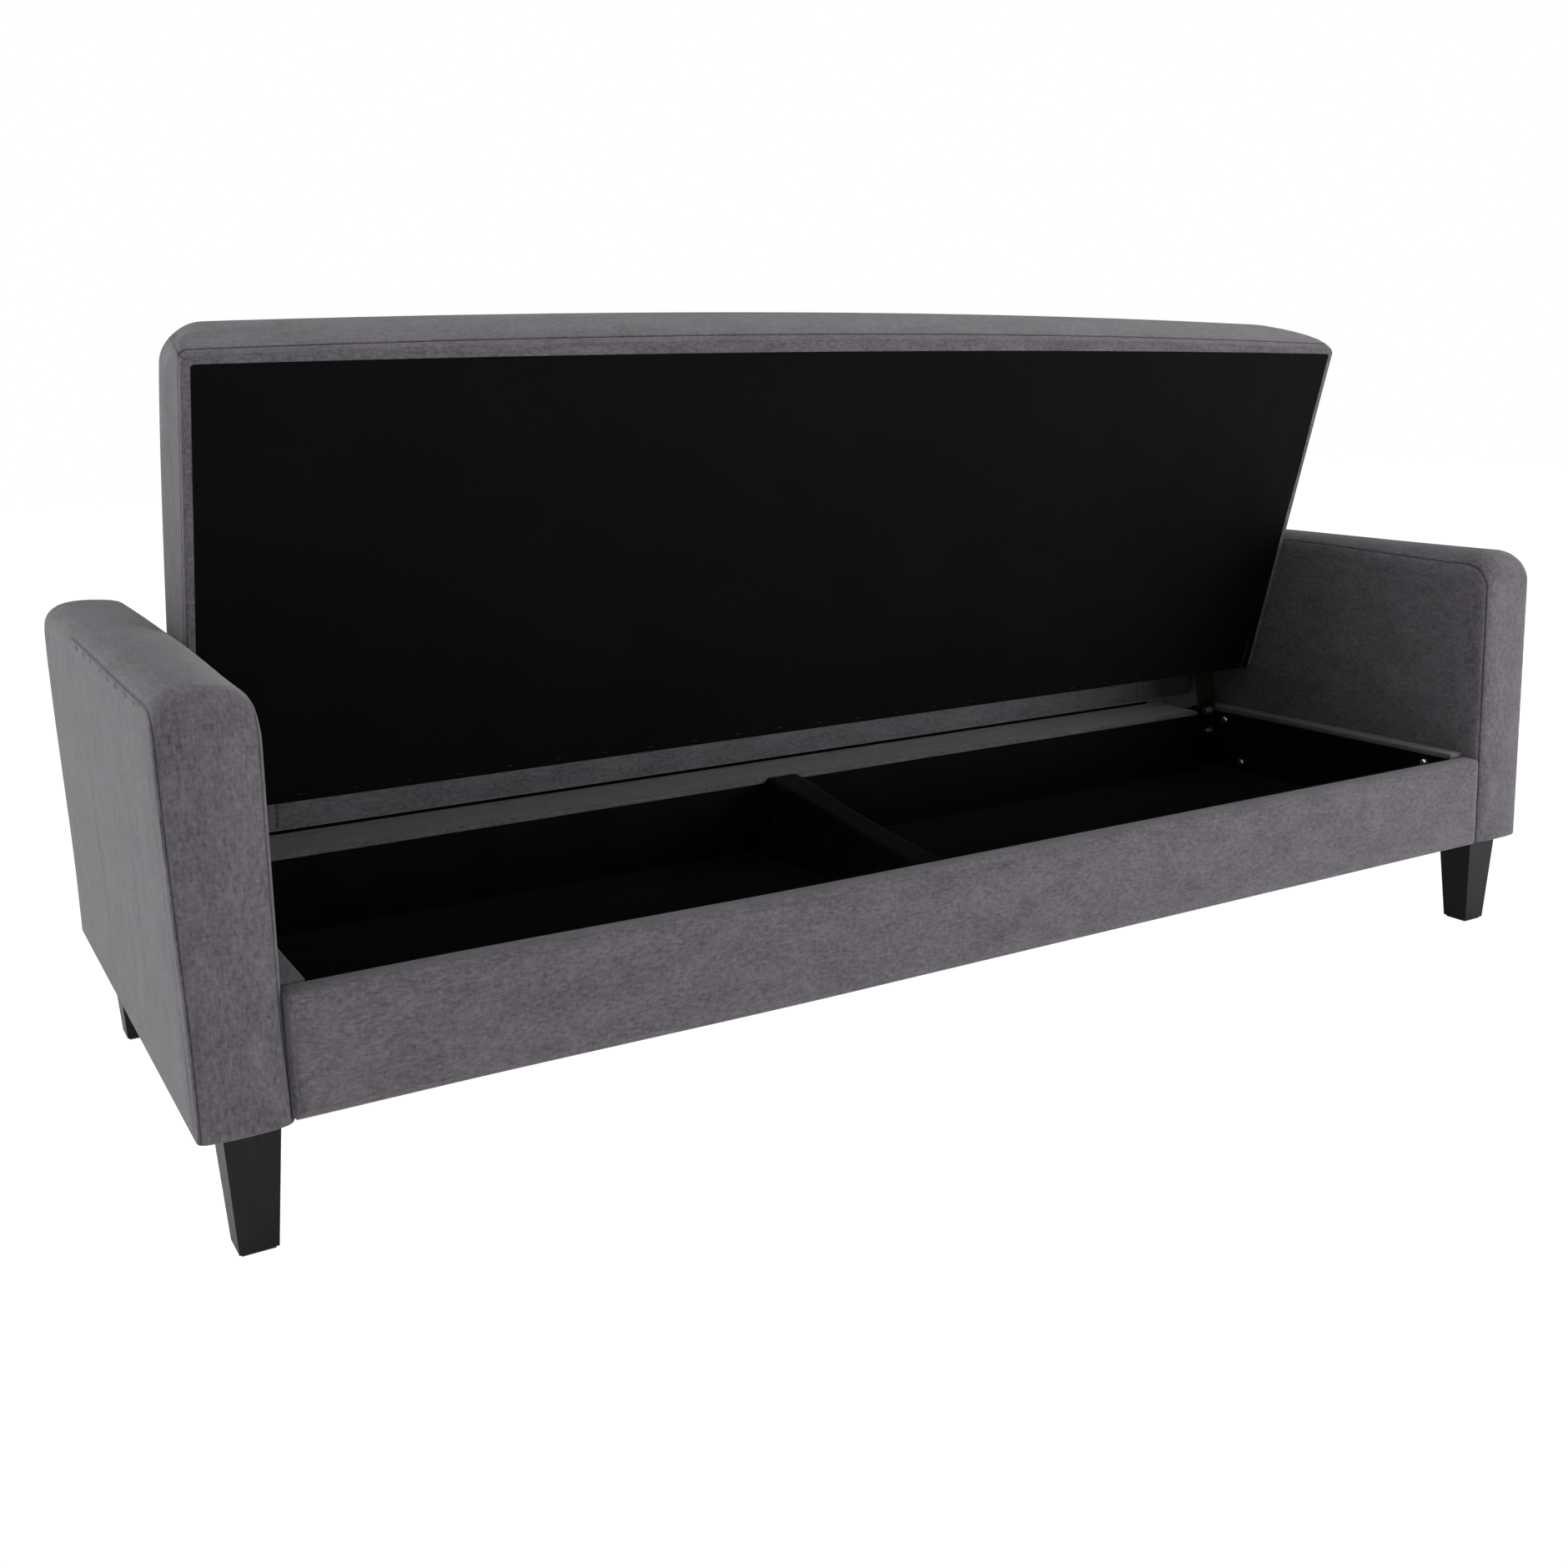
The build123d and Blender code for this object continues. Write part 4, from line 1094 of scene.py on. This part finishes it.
def make_undersides():
    lift = seat_lift_matrix()
    make_underside_sheet(
        "seat_dust_sheet", "seat_dust_cover", SEAT_SHEET_FREE_Y, SEAT_SHEET_HINGE_Y, SEAT_SHEET_Z,
        SEAT_SHEET_SAG, lift, "seat", "black_cloth",
        SEAT_HINGE_Y - SEAT_SLOT_DEPTH, SEAT_WRAP,
    )
    make_underside_sheet(
        "back_dust_sheet", "back_panel", BACK_SHEET_FREE_Y, BACK_SHEET_HINGE_Y, BACK_SHEET_Z,
        BACK_SHEET_SAG, None, "back", "grey_fabric",
    )
    places = []
    for k in range(STAPLE_COUNT):
        x = -STAPLE_REACH + 2 * STAPLE_REACH * k / (STAPLE_COUNT - 1)
        y = SEAT_SHEET_HINGE_Y - STAPLE_INSET + STAPLE_WANDER * math.sin(5 * k)
        places.append((x, y, STAPLE_Z))
    make_staples("seat_staples", places, lift, "seat")


BOX_FRONT = -0.5095
BOX_REAR = -0.0076
POCKET_REAR = 0.0515
POCKET_INNER = 0.8606
POCKET_OUTER = 0.9176
POCKET_SIDE_FRONT = 0.0195
BOX_FLOOR = 0.1768
BOX_SIDE = 0.9234
WALL_TOP = 0.2832
SIDE_TOP = 0.2884
SIDE_REAR = 0.0700
LINING_FOLD = 0.006
LINING_WAVE = 0.0012
LINING_SIDE_WAVE = 0.0014
# Each bay's side, and its inner end beside the centre beam
LINING_BAYS = (("left", -1, 0.0605), ("right", 1, -0.0195))
# Folds in the rear linings: place, width, depth and lean
LINING_FOLDS = {
    "right": (
        (0.30, 0.030, 0.006, 0.05), (0.47, 0.020, 0.008, 0.07), (0.535, 0.016, 0.009, 0.06),
        (0.60, 0.022, 0.007, 0.05), (0.76, 0.028, 0.005, 0.04), (0.12, 0.04, 0.004, -0.05),
    ),
    "left": (
        (0.75, 0.03, 0.005, 0.04), (0.52, 0.025, 0.005, -0.05), (0.33, 0.03, 0.006, -0.04),
        (0.18, 0.022, 0.005, 0.05),
    ),
}


def row(x, y, z):
    """Points of one row of a grid, from single places or one for each point."""
    return np.column_stack(np.broadcast_arrays(x, y, z))


def lining_floor(inner):
    """Cloth down the front and over the floor of one bay and of its hinge pocket."""
    bay, pocket = np.linspace(inner, POCKET_INNER, 100), np.linspace(POCKET_INNER, BOX_SIDE, 8)
    x = np.concatenate([bay, pocket[1:]])
    rows = []
    for z in np.linspace(WALL_TOP, BOX_FLOOR + LINING_FOLD, 12):
        rows.append(row(x, BOX_FRONT, z))
    for y in np.linspace(BOX_FRONT + LINING_FOLD, BOX_REAR, 50):
        near_wall = ease(min(y - BOX_FRONT, BOX_REAR - y) / 0.06)
        wave = LINING_WAVE * (1 + ripple(x + 0.4 * y, 4.0)) * near_wall
        rows.append(row(x, y, BOX_FLOOR + wave))
    box_rows = len(rows)
    for y in np.linspace(BOX_REAR, POCKET_REAR, 6)[1:]:
        rows.append(row(x, y, BOX_FLOOR))
    keep = np.ones((len(rows) - 1, len(x) - 1), bool)
    keep[box_rows - 1 :, x[:-1] < POCKET_INNER - 1e-6] = False
    return np.concatenate(rows), len(x), keep


def lining_rear(inner, folds):
    """Cloth up the rear of one bay, with loose folds in it."""
    x = np.linspace(inner, POCKET_INNER, 120)
    rows = []
    for share in np.linspace(0, 1, 18):
        bulge = np.zeros(len(x))
        for place, width, depth, lean in folds:
            centre = place + lean * (share - 0.5)
            bulge += depth * np.exp(-(((x - centre) / width) ** 2))
        bulge = bulge * ease(share / 0.35) * (1 - 0.75 * ease((share - 0.7) / 0.3))
        z = BOX_FLOOR + (WALL_TOP - BOX_FLOOR) * share
        rows.append(row(x, BOX_REAR - bulge, z))
    return np.concatenate(rows), len(x)


def pocket_walls():
    """Cloth round the hinge pocket: the beam's end, the board behind it and over the bracket's foot."""
    corners = [
        (POCKET_INNER, BOX_REAR), (POCKET_INNER, POCKET_REAR),
        (POCKET_OUTER, POCKET_REAR), (POCKET_OUTER, POCKET_SIDE_FRONT),
    ]
    path = []
    for start, end in zip(corners, corners[1:]):
        for share in np.linspace(0, 1, 9)[:-1]:
            path.append(np.array(start) * (1 - share) + np.array(end) * share)
    path = np.array(path + [corners[-1]])
    rows = [row(*path.T, z) for z in np.linspace(BOX_FLOOR, WALL_TOP, 10)]
    return np.concatenate(rows), len(path)


def lining_side():
    """Cloth over the side board, a little slack between its edges."""
    y = np.linspace(BOX_FRONT, SIDE_REAR, 80)
    z = np.linspace(BOX_FLOOR, SIDE_TOP, 14)
    gy, gz = np.meshgrid(y, z)
    share = (gz - z[0]) / (z[-1] - z[0])
    slack = LINING_SIDE_WAVE * (1 + ripple(gy, 6)) * np.sin(np.pi * share) * ease((-0.01 - gy) / 0.05)
    gx = BOX_SIDE + 0.0002 - slack
    return np.stack([gx, gy, gz], -1).reshape(-1, 3), len(y)


def lining_sheet(name, grid, sign):
    points, columns, *keep = grid
    points = points * np.array([sign, 1, 1])
    piece = sheet_piece(name, points, columns, *keep)
    finish_with(piece, "black_cloth")
    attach(piece, "base")
    return piece


def make_linings():
    for name, sign, inner in LINING_BAYS:
        floor = lining_sheet(
            f"{name}_lining_cloth", lining_floor(inner), sign,
        )
        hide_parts(f"{name}_lining")
        lining_sheet(
            f"{name}_lining_rear", lining_rear(inner, LINING_FOLDS[name]), sign,
        )
        lining_sheet(
            f"{name}_lining_pocket", pocket_walls(), sign,
        )
        lining_sheet(
            f"{name}_lining_side", lining_side(), sign,
        )


BEAM_FRONT = -0.5085
BEAM_REAR = -0.0085
BEAM_FLOOR = 0.1785
BEAM_CENTRE_X = -0.040
BEAM_ROWS = 70
BEAM_HALF_TOP = 0.0245
BEAM_HALF_FOOT = 0.0432
BEAM_TOP_FRONT = 0.2340
BEAM_TOP_REAR = 0.2885
BEAM_HUMP = 0.0012
BEAM_HUMP_SPREAD = 0.30
BEAM_FOLD = 0.005
# The rounded left half of the cloth's top: the place from the middle, and the share of its height
BEAM_SHOULDER = ((-0.0232, 0.985), (-0.0205, 1.008), (-0.0150, 1.014), (-0.0075, 1.012))


def make_beam_cloth():
    """Black cloth over the sloping centre beam, with soft folds down its sides."""
    left = [(-BEAM_HALF_FOOT, 0.0), (-BEAM_HALF_FOOT * 0.93, 0.06)]
    for share in np.linspace(0.15, 0.94, 9):
        left.append((-(BEAM_HALF_FOOT + (BEAM_HALF_TOP - BEAM_HALF_FOOT) * share), share))
    left += BEAM_SHOULDER
    section = np.array(left + [(0.0, 1.010)] + [(-x, share) for x, share in reversed(left)])
    side = np.clip(1 - np.abs(2 * section[:, 1] - 1), 0, 1)
    points = []
    for y in np.linspace(BEAM_FRONT, BEAM_REAR, BEAM_ROWS):
        share = (y - BEAM_FRONT) / (BEAM_REAR - BEAM_FRONT)
        hump = ease((share - 0.70) / 0.22)
        top = BEAM_TOP_FRONT + (BEAM_TOP_REAR - BEAM_TOP_FRONT) * share
        top += 0.0025 * math.sin(9 * share) * (1 - share)
        top += BEAM_HUMP * hump
        fold = BEAM_FOLD * (0.6 + ripple(y + 0.02 * section[:, 1], 9)) * side
        x = BEAM_CENTRE_X + section[:, 0] * (1 + BEAM_HUMP_SPREAD * hump) + np.sign(section[:, 0]) * fold
        z = BEAM_FLOOR + (top - BEAM_FLOOR) * section[:, 1]
        points.append(row(x, y, z))
    piece = sheet_piece("centre_beam_cloth", np.concatenate(points), len(section))
    finish_with(piece, "black_cloth")
    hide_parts("beam_cloth")
    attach(piece, "base")


# Stage
def make_camera():
    a, e, r = (math.radians(v) for v in (CAMERA_AZIMUTH, CAMERA_ELEVATION, CAMERA_ROLL))
    back = Vector((math.sin(a) * math.cos(e), -math.cos(a) * math.cos(e), math.sin(e)))
    right = Vector((math.cos(a), math.sin(a), 0))
    up = back.cross(right)
    rolled_right = math.cos(r) * right + math.sin(r) * up
    rolled_up = math.cos(r) * up - math.sin(r) * right
    data = bpy.data.cameras.new("camera")
    data.sensor_width = SENSOR_WIDTH
    data.lens = FOCAL_PIXELS * SENSOR_WIDTH / IMAGE_SIZE
    data.shift_y = (CENTRE_ROW - IMAGE_SIZE / 2) / IMAGE_SIZE
    camera = bpy.data.objects.new("camera", data)
    axes = Matrix((rolled_right, rolled_up, back)).transposed().to_4x4()
    camera.matrix_world = Matrix.Translation(CAMERA_PLACE) @ axes
    bpy.context.scene.collection.objects.link(camera)
    bpy.context.scene.camera = camera


def make_light(name, kind, place, target, settings):
    data = bpy.data.lights.new(name, kind)
    for key, value in settings.items():
        setattr(data, key, value)
    light = bpy.data.objects.new(name, data)
    light.location = place
    light.rotation_mode = "QUATERNION"
    light.rotation_quaternion = (Vector(target) - Vector(place)).to_track_quat("-Z", "Y")
    bpy.context.scene.collection.objects.link(light)


WHITE = (1, 1, 1, 1)
FLOOR_REACH = 14
LIGHTS = (
    ("overhead", "SUN", (-1.1, 1.2, 3.9), (0, 0, 0.3), {"energy": 2.7, "angle": math.radians(70)}),
    ("left_side", "AREA", (-4.2, 0.9, 1.2), (-0.9, -0.1, 0.4),
     {"energy": 34, "shape": "RECTANGLE", "size": 2.4, "size_y": 2.0}),
    ("right_front", "AREA", (2.6, -4.2, 0.55), (0.5, -0.5, 0.25),
     {"energy": 228, "shape": "RECTANGLE", "size": 2.4, "size_y": 1.8}),
)


def show_plain(tree, lit, plain, output):
    """Let the camera see the plain shader, and the light the other one."""
    seen = add(tree, "LightPath").outputs["Is Camera Ray"]
    mix = add(tree, "MixShader", {0: seen, 1: lit.outputs[0], 2: plain.outputs[0]})
    tree.links.new(mix.outputs[0], output.inputs[0])


def make_stage():
    corners = [(x * FLOOR_REACH, y * FLOOR_REACH, 0) for x, y in ((-1, -1), (1, -1), (1, 1), (-1, 1))]
    floor = mesh_object("floor", corners, [(0, 1, 2, 3)])
    pale = Surface(
        "pale_floor", Roughness=0.9, Base_Color=(0.88, 0.88, 0.88, 1), Specular_IOR_Level=0.1,
        Emission_Color=WHITE, Emission_Strength=0.30,
    )
    plain = add(pale.tree, "Emission", {"Color": WHITE, "Strength": 1.1})
    show_plain(pale.tree, pale.shader, plain, pale.output)
    floor.data.materials.append(pale.material)
    scene = bpy.context.scene
    scene.view_settings.view_transform = "Standard"
    scene.world = bpy.data.worlds.new("studio")
    scene.world.use_nodes = True
    tree = scene.world.node_tree
    tree.nodes.clear()
    soft, plain = (add(tree, "Background", {"Color": WHITE, "Strength": s}) for s in (0.38, 1.0))
    show_plain(tree, soft, plain, add(tree, "OutputWorld"))
    for light in LIGHTS:
        make_light(*light)


dress_cad_nodes()
make_arms()
make_cushions()
make_wrapped_boards()
make_undersides()
make_linings()
make_beam_cloth()
make_camera()
make_stage()
